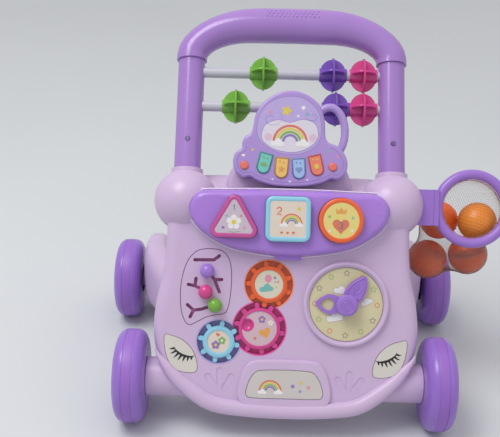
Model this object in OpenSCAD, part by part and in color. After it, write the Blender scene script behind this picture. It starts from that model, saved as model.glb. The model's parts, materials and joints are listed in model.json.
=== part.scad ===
// Push-along baby walker with an activity panel, a lift-off toy piano and a ball hoop.
// Frame: X to the side, front face towards -Y, Z up, origin on the floor midway between the axles.

/* [Wheels] */
// Diameter of the four wheels over the grip bands
wheel_d = 115; // [105:1:120]
// Width of a wheel
wheel_w = 38; // [34:1:42]
// Width of the rubber grip band
band_w = 12; // [10:1:18]
// Thickness of the rubber grip band
band_t = 3; // [2:0.5:4]
// Diameter of the steel axles
axle_d = 8; // [6:0.5:10]
// Distance from front axle to rear axle
wheelbase = 247; // [235:1:260]
// Gap between a wheel and the boss beside it
wheel_gap = 0.5; // [0.3:0.1:0.8]
// Radial gap of everything that turns or slides on a shaft
shaft_gap = 0.05; // [0.03:0.01:0.08]

/* [Casing] */
// Width of the casing across its cheeks
body_w = 322; // [312:1:330]
// Width of the casing below the shoulders
waist_w = 294; // [286:1:300]
// Height of the casing along its sloping face
body_h = 268; // [264:1:276]
// Depth of the casing from front to back, level
body_depth = 76; // [72:1:84]
// Depth at which front and back casing meet
seam_depth = 58; // [56:1:62]
// Wall thickness of the moulded casings
wall = 3; // [2.4:0.1:3.4]
// Radius along the front edge of the casing
edge_r = 14; // [11:1:17]
// Lean of the front face back from upright
panel_tilt = 25; // [22:1:28]
// Distance that the foot of the front face lies ahead of the front axle
nose_reach = 34.5; // [32:0.5:38]
// Diameter of the axle housings beside the casing
housing_d = 47.5; // [40:0.5:50]
// Length of an axle housing beyond the cheek
housing_len = 7.5; // [5:0.5:9]
// Radius of the shoulder balls
shoulder_r = 39; // [37:0.5:41]
// Radius of the raised lip along the lower edge, at its middle
lip_r = 9.5; // [8:0.5:10]

/* [Rear legs] */
// Distance between the middles of the two legs at the rear axle
leg_spread = 368; // [360:1:380]
// Thickness of a leg at the rear axle
leg_w = 38; // [34:1:42]
// Height of a leg at the rear axle
leg_h = 116; // [108:1:120]

/* [Handle] */
// Distance between the two handle tubes
tube_span = 254; // [250:1:258]
// Diameter of the handle tubes
tube_d = 33.5; // [31:0.5:34.5]
// Lean of the handle back from upright
handle_tilt = 35.5; // [33:0.5:38]
// Height of the handle along its slope, from shoulder centre to grip centre
handle_h = 230.5; // [226:0.5:240]
// Thickness of the grip at its middle
grip_d = 45; // [42:1:50]
// Diameter of the abacus rods
rod_d = 13.5; // [11:0.5:14.5]
// Height of the lower abacus rod along the handle
rod_low = 122.5; // [119:0.5:124]
// Distance between the two abacus rods
rod_pitch = 44.5; // [43.5:0.5:48]
// Diameter of a bead's two fins
bead_d = 42; // [38:1:43]
// Width of a bead along its rod
bead_w = 34.5; // [30:0.5:34.5]

/* [Console] */
// Width of the button console
console_w = 239; // [234:1:244]
// Height that the console stands out of the casing
console_rise = 18; // [15:1:20]
// Height that the buttons stand out of the console
button_rise = 8; // [6:0.5:10]
// Depth that a button travels when pressed
button_travel = 3.5; // [2.5:0.5:4]
// Width of the square button
button_w = 53.5; // [48:0.5:55]

/* [Gears] */
// Pitch diameter per tooth of the three peg gears
gear_module = 5.75; // [5.5:0.05:5.9]
// Teeth of the upper gear
teeth_top = 9; // [8:1:9]
// Teeth of the middle gear
teeth_middle = 10; // [9:1:10]
// Teeth of the lower gear
teeth_bottom = 8; // [7:1:8]
// Width of a gear's peg teeth
peg_w = 5.6; // [4.6:0.2:6.4]
// Depth of the wells that hold the gears
well_depth = 11; // [10:0.5:13]

/* [Clock and maze] */
// Diameter of the clock dial
dial_d = 89.4; // [84:0.2:91]
// Diameter of the clock's knob
knob_d = 25.5; // [22:0.5:29]
// Diameter of the maze balls
slider_d = 17.5; // [15:0.5:18]
// Width of the maze slots
slot_w = 4; // [3.6:0.2:4.6]

/* [Toy piano] */
// Width of the toy piano
piano_w = 139; // [134:1:142]
// Thickness of the toy piano's case
piano_t = 22; // [20:0.5:22.5]
// Depth that a piano key travels
key_travel = 1.6; // [1.2:0.1:2]

/* [Ball hoop] */
// Diameter of the hoop across the middle of its ring
hoop_d = 85; // [80:1:88]
// Thickness of the hoop's ring
hoop_t = 12.2; // [10:0.2:13]
// Diameter of the play balls
ball_d = 50; // [46:1:50]
// Thickness of the net bag's wall
net_t = 1.2; // [1:0.1:1.6]

/* [Inside] */
// Diameter of a battery cell
cell_d = 14.5; // [14:0.1:14.5]
// Length of a battery cell
cell_len = 50.5; // [49:0.5:50.5]
// Diameter of the loudspeaker
speaker_d = 40; // [36:1:44]

/* [Hidden] */

$fn = 64;
eps = 0.01;
fit = 0.2;      // gap between moulded pieces that drop into each other
seat = 0.3;     // gap between a piece and what it rests against

// Frames
foot = -18;                              // lower edge of the casing, along the face
crown = foot + body_h;                   // upper edge of the casing, along the face
axle_z = wheel_d / 2;
axle_y = wheelbase / 2;
nose_drop = 12.5;                        // foot of the sloping face below the axles
panel_y = -axle_y - nose_reach;
panel_z = axle_z - nose_drop;
shoulder_x = tube_span / 2;
shoulder_up = crown - 5.7;
shoulder_back = 26.5;
back_face = body_depth * cos(panel_tilt);  // thickness of the casing square to its face
back_rise = body_depth * sin(panel_tilt);
skin = wall * cos(panel_tilt);             // casing wall square to its face
seam = seam_depth * cos(panel_tilt);

module on_panel() translate([0, panel_y, panel_z]) rotate([90 - panel_tilt, 0, 0]) children();
module on_handle() on_panel() translate([0, shoulder_up, -shoulder_back])
  rotate([panel_tilt - handle_tilt, 0, 0]) children();
module both_sides() {
  children();
  mirror([1, 0, 0]) children();
}

// Smooth closed curve through a few points
function spline(p, k) = let (n = len(p)) [
  for (i = [0 : n - 1], j = [0 : k - 1])
    let (t = j / k, a = p[(i + n - 1) % n], b = p[i], c = p[(i + 1) % n], d = p[(i + 2) % n])
      0.5 * (2 * b + (c - a) * t + (2 * a - 5 * b + 4 * c - d) * t * t
        + (3 * b - a - 3 * c + d) * t * t * t)];
// A half outline from bottom to top, completed with its mirror image
function both_halves(half) = concat(half, [
  for (i = [len(half) - 1 : -1 : 0]) if (half[i][0] > eps) [-half[i][0], half[i][1]]]);
// The outline moved inwards by d
function inset(p, d) = let (n = len(p)) [
  for (i = [0 : n - 1])
    let (t = p[(i + 1) % n] - p[(i + n - 1) % n], u = t / norm(t)) p[i] + d * [-u[1], u[0]]];
function at_height(p, z) = [for (q = p) [q[0], q[1], z]];

function middle(ring, i = 0) = i == len(ring) ? [0, 0, 0] : ring[i] / len(ring) + middle(ring, i + 1);
// Closed solid through a stack of rings with equal numbers of points; each end is a fan
module loft(rings) {
  n = len(rings[0]);
  last = (len(rings) - 1) * n;
  sides = [for (k = [0 : len(rings) - 2], i = [0 : n - 1])
    let (j = (i + 1) % n, a = k * n + i, b = k * n + n + i, c = k * n + n + j, d = k * n + j)
      each [[a, b, c], [a, c, d]]];
  bottom = [for (i = [0 : n - 1]) [last + n, i, (i + 1) % n]];
  top = [for (i = [0 : n - 1]) [last + n + 1, last + (i + 1) % n, last + i]];
  ends = [middle(rings[0]), middle(rings[len(rings) - 1])];
  polyhedron(concat([for (r = rings) each r], ends), concat(bottom, sides, top), convexity = 8);
}

// Slab between two heights whose upper edge is rounded
module pillow(outline, low, high, r) {
  loft(concat([at_height(outline, low)],
    [for (t = [0 : 30 : 90]) at_height(inset(outline, r * (1 - cos(t))), high - r * (1 - sin(t)))]));
}

// Rounded bar along a flat path: in-plane radius and upright radius per point
module bar(path, flat_r, deep_r, sides) {
  n = len(path);
  loft([for (i = [0 : n - 1])
    let (t = path[min(i + 1, n - 1)] - path[max(i - 1, 0)], u = t / norm(t))
      [for (s = [0 : sides - 1]) let (q = s * 360 / sides)
        [path[i][0] - u[1] * flat_r[i] * cos(q), path[i][1] + u[0] * flat_r[i] * cos(q),
          deep_r[i] * sin(q)]]]);
}

module pill(p, q, r) {
  d = q - p;
  translate(p) rotate(atan2(d[1], d[0])) {
    translate([0, -r]) square([norm(d), 2 * r]);
    circle(r);
    translate([norm(d), 0]) circle(r);
  }
}

module rounded_box(w, h, r) {
  square([w - 2 * r, h], center = true);
  square([w, h - 2 * r], center = true);
  for (x = [-1, 1], y = [-1, 1]) translate([x * (w / 2 - r), y * (h / 2 - r)]) circle(r);
}

// ---- Casing ----
cheek = body_w / 2;
waist = waist_w / 2;
body_outline = spline(both_halves([
  [0, foot], [0.3 * cheek, foot + 1.6], [0.55 * cheek, foot + 7], [0.72 * cheek, foot + 22],
  [0.875 * cheek, foot + 45], [0.97 * cheek, foot + 72], [cheek, foot + 102], [cheek - 3, foot + 136],
  [cheek - 10, foot + 168], [waist + 1, foot + 203], [waist, crown - 35], [waist - 8, crown - 12],
  [waist - 29, crown - 2], [60, crown]]), 3);

// Ring of the casing at a level depth behind the sloping face
function casing_ring(in, depth) = [for (q = inset(body_outline, in))
  [q[0], q[1] + depth * sin(panel_tilt), -depth * cos(panel_tilt)]];
function front_rings(from, in, r) = concat([casing_ring(in, from)],
  [for (t = [0 : 18 : 90]) casing_ring(in + r * (1 - cos(t)), in + r * (1 - sin(t)))]);
function back_rings(to, in, r) = concat(
  [for (t = [90 : -30 : 0]) casing_ring(in + r * (1 - cos(t)), body_depth - in - r * (1 - sin(t)))],
  [casing_ring(in, to)]);
back_r = 9;

module shoulders(r) {
  both_sides() translate([shoulder_x, shoulder_up, -shoulder_back]) sphere(r, $fn = 96);
}
housing_in = 69;        // length of an axle housing inside the cheek
module axle_tubes(d, reach) {
  translate([0, -axle_y, axle_z]) both_sides()
    rotate([0, 90, 0]) translate([0, 0, cheek - housing_in]) cylinder(d = d, h = reach + housing_in);
}
collar_low = 24;
collar_top = 39;
module tube_sockets(r, low, high) {
  both_sides() translate([shoulder_x, 0, 0]) rotate([-90, 0, 0])
    translate([0, 0, low]) cylinder(r = r, h = high - low);
}

// Places on the sloping face, as [across, up]
clock_at = [71.5, 124];
gear_mid_at = [-32, 91.6];
gear_top_dir = 79.2;
gear_low_dir = 199.6;
gear_top_at = gear_mid_at
  + gear_module * (teeth_top + teeth_middle) / 2 * [cos(gear_top_dir), sin(gear_top_dir)];
gear_low_at = gear_mid_at
  + gear_module * (teeth_bottom + teeth_middle) / 2 * [cos(gear_low_dir), sin(gear_low_dir)];
bezel_r = dial_d / 2 + 4;
bezel_top = 6;
peg_out = 2.6;
function gear_tip(teeth) = gear_module * teeth / 2 + peg_out;
well_gap = 1.6;

module gear_wells(grow) {
  translate(gear_top_at) circle(gear_tip(teeth_top) + well_gap + grow);
  translate(gear_mid_at) circle(gear_tip(teeth_middle) + well_gap + grow);
  translate(gear_low_at) circle(gear_tip(teeth_bottom) + well_gap + grow);
}

maze_outline = spline([[-106, 185], [-85, 186], [-74, 180], [-68.5, 168], [-67, 150], [-68.5, 126],
  [-73, 110], [-84, 107], [-96, 104], [-107, 98], [-116, 94], [-122, 98], [-127, 112], [-128.5, 134],
  [-126, 155], [-119, 174]], 3);
maze_t = 3;

eye_outline = spline([[146.5, 80.5], [137.5, 80.5], [124.5, 75.5], [113, 65], [106.8, 51.5], [106, 39.5],
  [112.5, 36], [127, 37.5], [138, 45], [144.8, 60.5]], 3);
eye_t = 1.2;
eye_sink = 0.6;

plateau_rise = 5;
plateau = spline(both_halves([[0, -4], [44, -3], [54, 4], [56.5, 17], [52, 36], [45, 49], [34, 54],
  [0, 55]]), 3);
plate_outline = spline(both_halves([[0, 8.5], [38, 8.7], [45, 11], [46.5, 17], [42.5, 30], [36, 39.5],
  [27, 42.5], [0, 43.5]]), 3);
plate_t = 1.2;
plate_stand = 0.3;      // height of the nameplate over the plateau round it
plate_low = plateau_rise + plate_stand - plate_t;

lip_top = 72;
lip_low = 8;            // the lip keeps its full radius below this and thins out above
lip_order = let (n = len(body_outline)) concat(
  [for (i = [floor(n / 2) : n - 1]) if (body_outline[i][1] < lip_top) i],
  [for (i = [0 : floor(n / 2)]) if (body_outline[i][1] < lip_top) i]);
lip_sizes = let (n = len(lip_order)) [for (i = [0 : n - 1])
  lip_r * (1 - 0.62 * max(0, body_outline[lip_order[i]][1] - lip_low) / (lip_top - lip_low))
    * min(1, (min(i, n - 1 - i) + 0.6) / 3)];
lip_line = let (p = inset(body_outline, 1)) [for (i = [0 : len(lip_order) - 1]) let (k = lip_order[i])
  body_outline[k] + (lip_sizes[i] + 1) * (p[k] - body_outline[k])];

petal_r = 3.9;
petals = [[[92.7, 32], [83.5, 20]], [[78.3, 39.5], [77.8, 24.5]], [[64.5, 32.5], [72, 18.5]]];

console_half = console_w / 2;
console_low = crown - 69;
console_high = crown + 8;
console_outline = spline(both_halves([[0, console_low], [38, console_low + 3], [75, console_low + 11],
  [102, console_low + 26.5], [console_half - 4, console_low + 41], [console_half, console_low + 56],
  [console_half - 6, console_high - 8], [console_half - 16, console_high - 2], [76, console_high - 1.2],
  [38, console_high]]), 3);
console_frame = inset(console_outline, -3.2);
frame_rise = 3;
button_row = crown - 25.3;
triangle_at = [-65.5, button_row - 3.7];
square_at = [-1.6, button_row];
round_at = [61, button_row];
triangle_r = 21.6;      // centre to the middle of a corner's rounding
triangle_round = 9.2;
square_round = 9;
button_ring = button_w / 2;
board_level = 5.5;      // board below the sloping face
board_t = 1.6;
board_w = 184;
board_h = 40;

screw_r = 1.6;
pilot_r = 1.3;
head_r = 3.2;
head_h = 2.4;
boss_r = 4.5;
boss_at = [[125, 66], [116, 190]];
screw_well = back_face - seam - seat - 3;  // depth of the ledge under a screw's head
well_r = 4;
door_w = 62;
door_h = 54;
door_at = [0, back_rise + 118];
door_t = 2.4;
tub_depth = cell_d + door_t + 2;
speaker_at = [-84, back_rise + 128];
speaker_pad = 0.5;
switch_at = [86, back_rise + 150];

module bosses(r, low, h) for (p = boss_at) both_sides() translate([p[0], p[1], low]) cylinder(r = r, h = h);

module front_shell() color([0.79, 0.67, 0.83]) difference() {
  union() {
    on_panel() loft(front_rings(seam_depth, 0, edge_r));
    on_panel() shoulders(shoulder_r);
    axle_tubes(housing_d, housing_len);
    on_handle() tube_sockets(tube_d / 2 + 3, collar_low, collar_top);
    on_panel() {
      bar(lip_line, lip_sizes, 0.8 * lip_sizes, 14);
      pillow(plateau, -1, plateau_rise, 3);
      translate(clock_at) {
        translate([0, 0, -1]) cylinder(r = bezel_r + 3, h = bezel_top - 1);
        translate([0, 0, 3]) rotate_extrude() translate([bezel_r, 0]) circle(3, $fn = 24);
      }
      translate([0, 0, -1]) linear_extrude(frame_rise + 1) polygon(console_frame);
    }
  }
  on_panel() {
    difference() {
      loft(front_rings(seam_depth + 1, wall, edge_r - wall));
      bosses(boss_r, -seam - 1, back_face);
    }
    bosses(pilot_r, -back_face, back_face - wall - 3);
    // Seats on the face
    translate([0, 0, plate_low]) linear_extrude(plate_t + 2) polygon(inset(plate_outline, -fit));
    both_sides() translate([0, 0, -eye_sink]) linear_extrude(eye_t + 6) polygon(inset(eye_outline, fit));
    translate(clock_at) cylinder(d = dial_d + 2 * fit, h = bezel_top + 2, $fn = 96);
    linear_extrude(console_rise + 1) polygon(inset(console_outline, -fit));
    // Openings through the face
    translate([0, button_row - 0.5, -wall - 2]) linear_extrude(wall + 4)
      rounded_box(board_w + 8, board_h + 10, 8);
    translate([0, 0, -wall - 2]) linear_extrude(wall + 4) gear_wells(fit);
    translate([0, 0, -wall - 2]) linear_extrude(wall + 4) polygon(inset(maze_outline, fit));
    for (p = petals) both_sides() translate([0, 0, -0.8]) linear_extrude(3) pill(p[0], p[1], petal_r);
  }
  axle_tubes(housing_d - 2 * wall, housing_len - 5);
  on_panel() shoulders(shoulder_r - wall);
  translate([-cheek - housing_len - 1, -axle_y, axle_z]) rotate([0, 90, 0])
    cylinder(d = axle_d + 2 * shaft_gap, h = body_w + 2 * housing_len + 2);
  on_handle() tube_sockets(tube_d / 2 + fit, 20, collar_top + 1);
}

module back_shell() color([0.79, 0.67, 0.83]) on_panel() difference() {
  union() {
    difference() {
      loft(back_rings(seam_depth, 0, back_r));
      loft(back_rings(seam_depth - 1, wall, back_r - wall));
    }
    // Tub for the battery cells
    translate([door_at[0], door_at[1], -back_face]) linear_extrude(tub_depth + wall)
      square([door_w + 2 * wall, door_h + 2 * wall], center = true);
    bosses(well_r + 2, -back_face + 1, screw_well + 2);
    translate([speaker_at[0], speaker_at[1], -back_face + 1]) difference() {
      cylinder(d = speaker_d + 5, h = skin + 7);
      translate([0, 0, skin + speaker_pad - 1]) cylinder(d = speaker_d + 2 * fit, h = 9);
    }
  }
  shoulders(shoulder_r + fit);
  bosses(well_r, -back_face - 1, screw_well + 1);
  bosses(screw_r + fit, -back_face, screw_well + 4);
  translate([door_at[0], door_at[1], -back_face - 1]) linear_extrude(tub_depth + 1)
    square([door_w - 6, door_h - 6], center = true);
  translate([door_at[0], door_at[1], -back_face - 1]) linear_extrude(door_t + 1)
    rounded_box(door_w, door_h, 4);
  translate([switch_at[0], switch_at[1], -back_face - 1]) linear_extrude(wall + 2)
    square([16, 6], center = true);
  for (x = [-12 : 6 : 12], y = [-12 : 6 : 12])
    translate([speaker_at[0] + x, speaker_at[1] + y, -back_face - 1]) cylinder(d = 3, h = wall + 2, $fn = 20);
}

// ---- Rear legs ----
leg_root_y = -axle_y + 28;
leg_run = axle_y - leg_root_y;
leg_root_x = 121;
leg_root_w = 52;
leg_root_z = axle_z + 40;
leg_end_z = axle_z + 12;
function corner(q) = sign(q) * pow(abs(q), 0.62);
function leg_ring(y, x, z, half_w, half_h) = [for (s = [0 : 27]) let (q = s * 360 / 28)
  [x - half_w * corner(cos(q)), y, z + half_h * corner(sin(q))]];
function leg_x(t) = leg_root_x + (leg_spread / 2 - leg_root_x) * (1 - cos(min(1, t) * 180)) / 2;
leg_arch = 15;           // rise of a leg's underside at mid length
function leg_rings(in, from) = concat(
  [for (t = [from : 0.125 : 1.001]) leg_ring(leg_root_y + t * leg_run, leg_x(t),
    leg_root_z + (leg_end_z - leg_root_z) * t + leg_arch * sin(180 * t),
    leg_root_w / 2 + (leg_w - leg_root_w) / 2 * t - in, leg_h / 2 - leg_arch * sin(180 * t) - in)],
  [for (q = [20 : 20 : 80]) leg_ring(axle_y + (leg_h / 2 - in) * sin(q), leg_x(1), leg_end_z - 3 * sin(q),
    (leg_w / 2) * (0.55 + 0.45 * cos(q)) - in, (leg_h / 2 - in) * cos(q))]);
boss_out = leg_spread / 2 + leg_w / 2 + 3;

module rear_leg() color([0.79, 0.67, 0.83]) difference() {
  union() {
    difference() {
      loft(leg_rings(0, 0));
      loft(leg_rings(wall, 0.001));
    }
    translate([leg_spread / 2 - leg_w / 2 + 1, axle_y, axle_z]) rotate([0, 90, 0])
      cylinder(d = axle_d + 14, h = leg_w + 2);
  }
  on_panel() loft(concat(back_rings(seam_depth, 0, back_r), [casing_ring(0, 10)]));
  translate([leg_spread / 2 - leg_w, axle_y, axle_z]) rotate([0, 90, 0])
    cylinder(d = axle_d + 2 * shaft_gap, h = 2 * leg_w);
}
module rear_leg_right() rear_leg();
module rear_leg_left() mirror([1, 0, 0]) rear_leg();

// ---- Wheels ----
front_x = cheek + housing_len + wheel_gap + wheel_w / 2;
rear_x = boss_out + wheel_gap + wheel_w / 2;
tread_r = wheel_d / 2 - 0.3;
shoulder_in = 12;       // reach of a wheel's rounded shoulder along the axle
shoulder_deep = 18;     // and towards the axle
hub_r = axle_d / 2 + 8;
head_t = 4;

module wheel() {
  h = wheel_w / 2;
  hollow_r = tread_r - 8;
  rotate([0, 90, 0]) rotate_extrude($fn = 128) polygon(concat(
    [[axle_d / 2 + shaft_gap, -h], [hub_r, -h], [hub_r, -1], [hollow_r, -1], [hollow_r, -h + shoulder_in],
      [tread_r - shoulder_deep - 1, -h + 3], [hub_r + 9, -h + 3], [hub_r + 9, -h]],
    [for (t = [-90 : 15 : 0])
      [tread_r - shoulder_deep * (1 - cos(t)), -h + shoulder_in * (1 + sin(t))]],
    [[tread_r, -band_w / 2], [wheel_d / 2 - band_t, -band_w / 2],
      [wheel_d / 2 - band_t, band_w / 2], [tread_r, band_w / 2]],
    [for (t = [0 : 15 : 90])
      [tread_r - shoulder_deep * (1 - cos(t)), h - shoulder_in * (1 - sin(t))]],
    [[tread_r - shoulder_deep - 2, h - 3], [tread_r - shoulder_deep - 4, h - 12], [hub_r + 4, h - 14],
      [hub_r, h - 5], [hub_r - 2, h], [axle_d / 2 + shaft_gap, h]]));
}
module band() {
  rotate([0, 90, 0]) rotate_extrude($fn = 128) polygon([[wheel_d / 2 - band_t, -band_w / 2],
    [wheel_d / 2 - 0.8, -band_w / 2], [wheel_d / 2, -band_w / 2 + 1.5], [wheel_d / 2, band_w / 2 - 1.5],
    [wheel_d / 2 - 0.8, band_w / 2], [wheel_d / 2 - band_t, band_w / 2]]);
}
// A wheel or band at one corner: side -1 is left, end -1 is front
module at_corner(side, end) translate([side * (end < 0 ? front_x : rear_x), end * axle_y, axle_z])
  rotate([0, 0, side < 0 ? 180 : 0]) children();
module front_wheel_left() color([0.63, 0.47, 0.8]) at_corner(-1, -1) wheel();
module front_wheel_right() color([0.63, 0.47, 0.8]) at_corner(1, -1) wheel();
module rear_wheel_left() color([0.63, 0.47, 0.8]) at_corner(-1, 1) wheel();
module rear_wheel_right() color([0.63, 0.47, 0.8]) at_corner(1, 1) wheel();
module front_band_left() color([0.68, 0.46, 0.76]) at_corner(-1, -1) band();
module front_band_right() color([0.68, 0.46, 0.76]) at_corner(1, -1) band();
module rear_band_left() color([0.68, 0.46, 0.76]) at_corner(-1, 1) band();
module rear_band_right() color([0.68, 0.46, 0.76]) at_corner(1, 1) band();

module axle_head(x) translate([x, 0, 0]) rotate([0, 90, 0]) {
  cylinder(d = axle_d + 9, h = head_t / 2);
  translate([0, 0, head_t / 2]) cylinder(d1 = axle_d + 9, d2 = axle_d, h = head_t / 2);
}
module front_axle() translate([0, -axle_y, axle_z]) {
  reach = front_x + wheel_w / 2 + wheel_gap;
  translate([-reach - 1, 0, 0]) rotate([0, 90, 0]) cylinder(d = axle_d, h = 2 * reach + 2);
  both_sides() axle_head(reach);
}
module rear_axles() translate([0, axle_y, axle_z]) both_sides() {
  low = leg_spread / 2 - leg_w / 2 + 3;
  reach = rear_x + wheel_w / 2 + wheel_gap;
  translate([low, 0, 0]) rotate([0, 90, 0]) cylinder(d = axle_d, h = reach - low + 1);
  axle_head(reach);
}

module axles() color([0.75, 0.75, 0.78]) {
  front_axle();
  rear_axles();
}

// ---- Handle ----
joint_up = 188;         // where the tubes enter the grip
tube_in = 11;           // depth that a tube reaches into the grip
corner_w = 82;          // width of the grip's rounded corner
corner_ease = 1.12;     // over 1 the corner is flatter than an ellipse
corner_rise = handle_h - joint_up + 1;
grip_half = concat([for (u = [0, 6]) [shoulder_x, joint_up - 6 + u]],
  [for (t = [10 : 10 : 90])
    [shoulder_x - corner_w * (1 - cos(t)), joint_up + corner_rise * pow(sin(t), corner_ease)]],
  [[35, handle_h + 1.3]]);
grip_path = concat(grip_half, [[0, handle_h + 1.6]],
  [for (i = [len(grip_half) - 1 : -1 : 0]) [-grip_half[i][0], grip_half[i][1]]]);
grip_end_r = tube_d / 2 + 2.6;
function grip_swell(i) = let (n = len(grip_path), s = max(0, min(1, (min(i, n - 1 - i) - 4) / 7)))
  (grip_d / 2 - grip_end_r) * s * s * (3 - 2 * s);
grip_flat = [for (i = [0 : len(grip_path) - 1]) grip_end_r + grip_swell(i)];
grip_deep = [for (i = [0 : len(grip_path) - 1]) grip_end_r + 0.5 * grip_swell(i)];
grip_wall = 3.6;
cavity_from = 2;
function thinner(list, d) = [for (i = [cavity_from : len(list) - 1 - cavity_from]) list[i] - d];
cavity_path = [for (i = [cavity_from : len(grip_path) - 1 - cavity_from]) grip_path[i]];

module handle_grip() color([0.66, 0.45, 0.82]) on_handle() difference() {
  bar(grip_path, grip_flat, grip_deep, 20);
  bar(cavity_path, thinner(grip_flat, grip_wall), thinner(grip_deep, grip_wall), 12);
  tube_sockets(tube_d / 2 + fit / 2, joint_up - 7, joint_up + tube_in);
}
tube_wall = 2.4;
tube_low = 21;
upper_rod = rod_low + rod_pitch;
rod_reach = shoulder_x - tube_d / 2 + tube_wall + 1;
module rod_bores(d) for (y = [rod_low, upper_rod]) translate([-rod_reach, y, 0]) rotate([0, 90, 0])
  cylinder(d = d, h = 2 * rod_reach);
tube_screw_up = 75;
module handle_tube() color([0.66, 0.47, 0.82]) on_handle() difference() {
  translate([shoulder_x, tube_low, 0]) rotate([-90, 0, 0]) difference() {
    cylinder(d = tube_d, h = joint_up + tube_in - tube_low - fit);
    translate([0, 0, -1]) cylinder(d = tube_d - 2 * tube_wall, h = handle_h);
  }
  rod_bores(rod_d + 2 * shaft_gap);
  translate([shoulder_x, tube_screw_up, 0]) cylinder(r = screw_r, h = tube_d);
}
module handle_tube_right() handle_tube();
module handle_tube_left() mirror([1, 0, 0]) handle_tube();
module abacus_rods() color([0.9, 0.9, 0.93]) on_handle() rod_bores(rod_d);

// A bead of two fins and a wider middle disc on a hub
fin_t = 2.4;
disc_over = 1.6;        // the middle disc is this much wider than the fins
fin_shape = [for (t = [0 : 7.5 : 352.5]) [bead_w / 2 * cos(t), bead_d / 2 * sin(t)]];
module bead(x, y) on_handle() translate([x, y, 0]) difference() {
  union() {
    for (turn = [0, 90]) rotate([turn, 0, 0]) translate([0, 0, -fin_t / 2]) linear_extrude(fin_t)
      polygon(fin_shape);
    translate([-fin_t / 2, 0, 0]) rotate([0, 90, 0]) cylinder(d = bead_d + disc_over, h = fin_t);
    translate([-bead_w / 2, 0, 0]) rotate([0, 90, 0]) cylinder(d = rod_d + 4, h = bead_w);
  }
  translate([-bead_w, 0, 0]) rotate([0, 90, 0]) cylinder(d = rod_d + 2 * shaft_gap, h = 2 * bead_w);
}
pink_x = shoulder_x - tube_d / 2 - bead_w / 2 - 1.8;
upper_purple_x = pink_x - bead_w - 4;
lower_purple_x = pink_x - bead_w - seat;
upper_green_x = -35.4;
lower_green_x = -69;
module upper_bead_green() color([0.43, 0.71, 0.24]) bead(upper_green_x, upper_rod);
module upper_bead_purple() color([0.52, 0.35, 0.76]) bead(upper_purple_x, upper_rod);
module upper_bead_pink() color([0.84, 0.24, 0.57]) bead(pink_x, upper_rod);
module lower_bead_green() color([0.43, 0.71, 0.24]) bead(lower_green_x, rod_low);
module lower_bead_purple() color([0.52, 0.35, 0.76]) bead(lower_purple_x, rod_low);
module lower_bead_pink() color([0.84, 0.24, 0.57]) bead(pink_x, rod_low);

// ---- Console and buttons ----
module triangle_shape(grow) hull() for (a = [90, 210, 330])
  translate(triangle_at + triangle_r * [cos(a), sin(a)]) circle(triangle_round + grow, $fn = 32);
module square_shape(grow) translate(square_at)
  rounded_box(button_w + 2 * grow, button_w + 2 * grow, square_round + grow);
module round_shape(grow) translate(round_at) circle(button_ring + grow);
console_skin = 2.6;
latch_w = 32;
console_r = 7;
post_r = 2.4;
button_gap = 0.5;
module console_panel() color([0.65, 0.49, 0.82]) on_panel() {
  difference() {
    union() {
      pillow(console_outline, 0, console_rise, console_r);
      translate([-latch_w / 2, console_low - 5.5, frame_rise + seat]) cube([latch_w, 8, 4]);
    }
    pillow(inset(console_outline, console_skin), -1, console_rise - console_skin, console_r - console_skin);
    translate([0, 0, -1]) linear_extrude(console_rise + 2) {
      triangle_shape(button_gap);
      square_shape(button_gap);
      round_shape(button_gap);
    }
  }
  // Posts that hold the board
  for (x = [-1, 1], y = [-15, 15])
    translate([square_at[0] + x * (button_w / 2 + 4.2), button_row + y, -board_level])
      cylinder(r = post_r, h = board_level + console_rise - console_skin + eps);
}
// A hollow button: its outline, its eased top edge, its stop flange and its inside
button_skin = 2.4;
ease = 1.2;
flange = 1.3;
flange_t = 2;
button_low = button_travel + seat;
module button_stack() {
  top = console_rise + button_rise;
  difference() {
    union() {
      translate([0, 0, button_low]) linear_extrude(top - button_low - ease) children(0);
      translate([0, 0, top - ease - eps]) linear_extrude(ease) children(1);
      translate([0, 0, console_rise - console_skin - fit - flange_t]) linear_extrude(flange_t)
        intersection() {
          children(2);
          polygon(inset(console_outline, console_r + fit));
        }
    }
    translate([0, 0, button_low - 1]) linear_extrude(top - button_low - button_skin + 1) children(3);
  }
}
module triangle_button() color([0.84, 0.28, 0.58]) on_panel() button_stack() {
  triangle_shape(0);
  triangle_shape(-ease);
  triangle_shape(flange);
  triangle_shape(-button_skin);
}
module square_button() color([0.55, 0.8, 0.9]) on_panel() button_stack() {
  square_shape(0);
  square_shape(-ease);
  square_shape(flange);
  square_shape(-button_skin);
}
module round_button() color([0.92, 0.42, 0.2]) on_panel() button_stack() {
  round_shape(0);
  round_shape(-ease);
  round_shape(flange);
  round_shape(-button_skin);
}
module circuit_board() color([0.1, 0.45, 0.25]) on_panel()
  translate([0, button_row, -board_level - board_t]) linear_extrude(board_t)
    square([board_w, board_h], center = true);

// ---- Face inlays ----
module nameplate() color([0.84, 0.82, 0.78]) on_panel()
  translate([0, 0, plate_low]) linear_extrude(plate_t) polygon(plate_outline);
module eye_inlays() color([0.84, 0.82, 0.78]) on_panel() both_sides()
  translate([0, 0, -eye_sink]) linear_extrude(eye_t) polygon(inset(eye_outline, 2 * fit));

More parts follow.
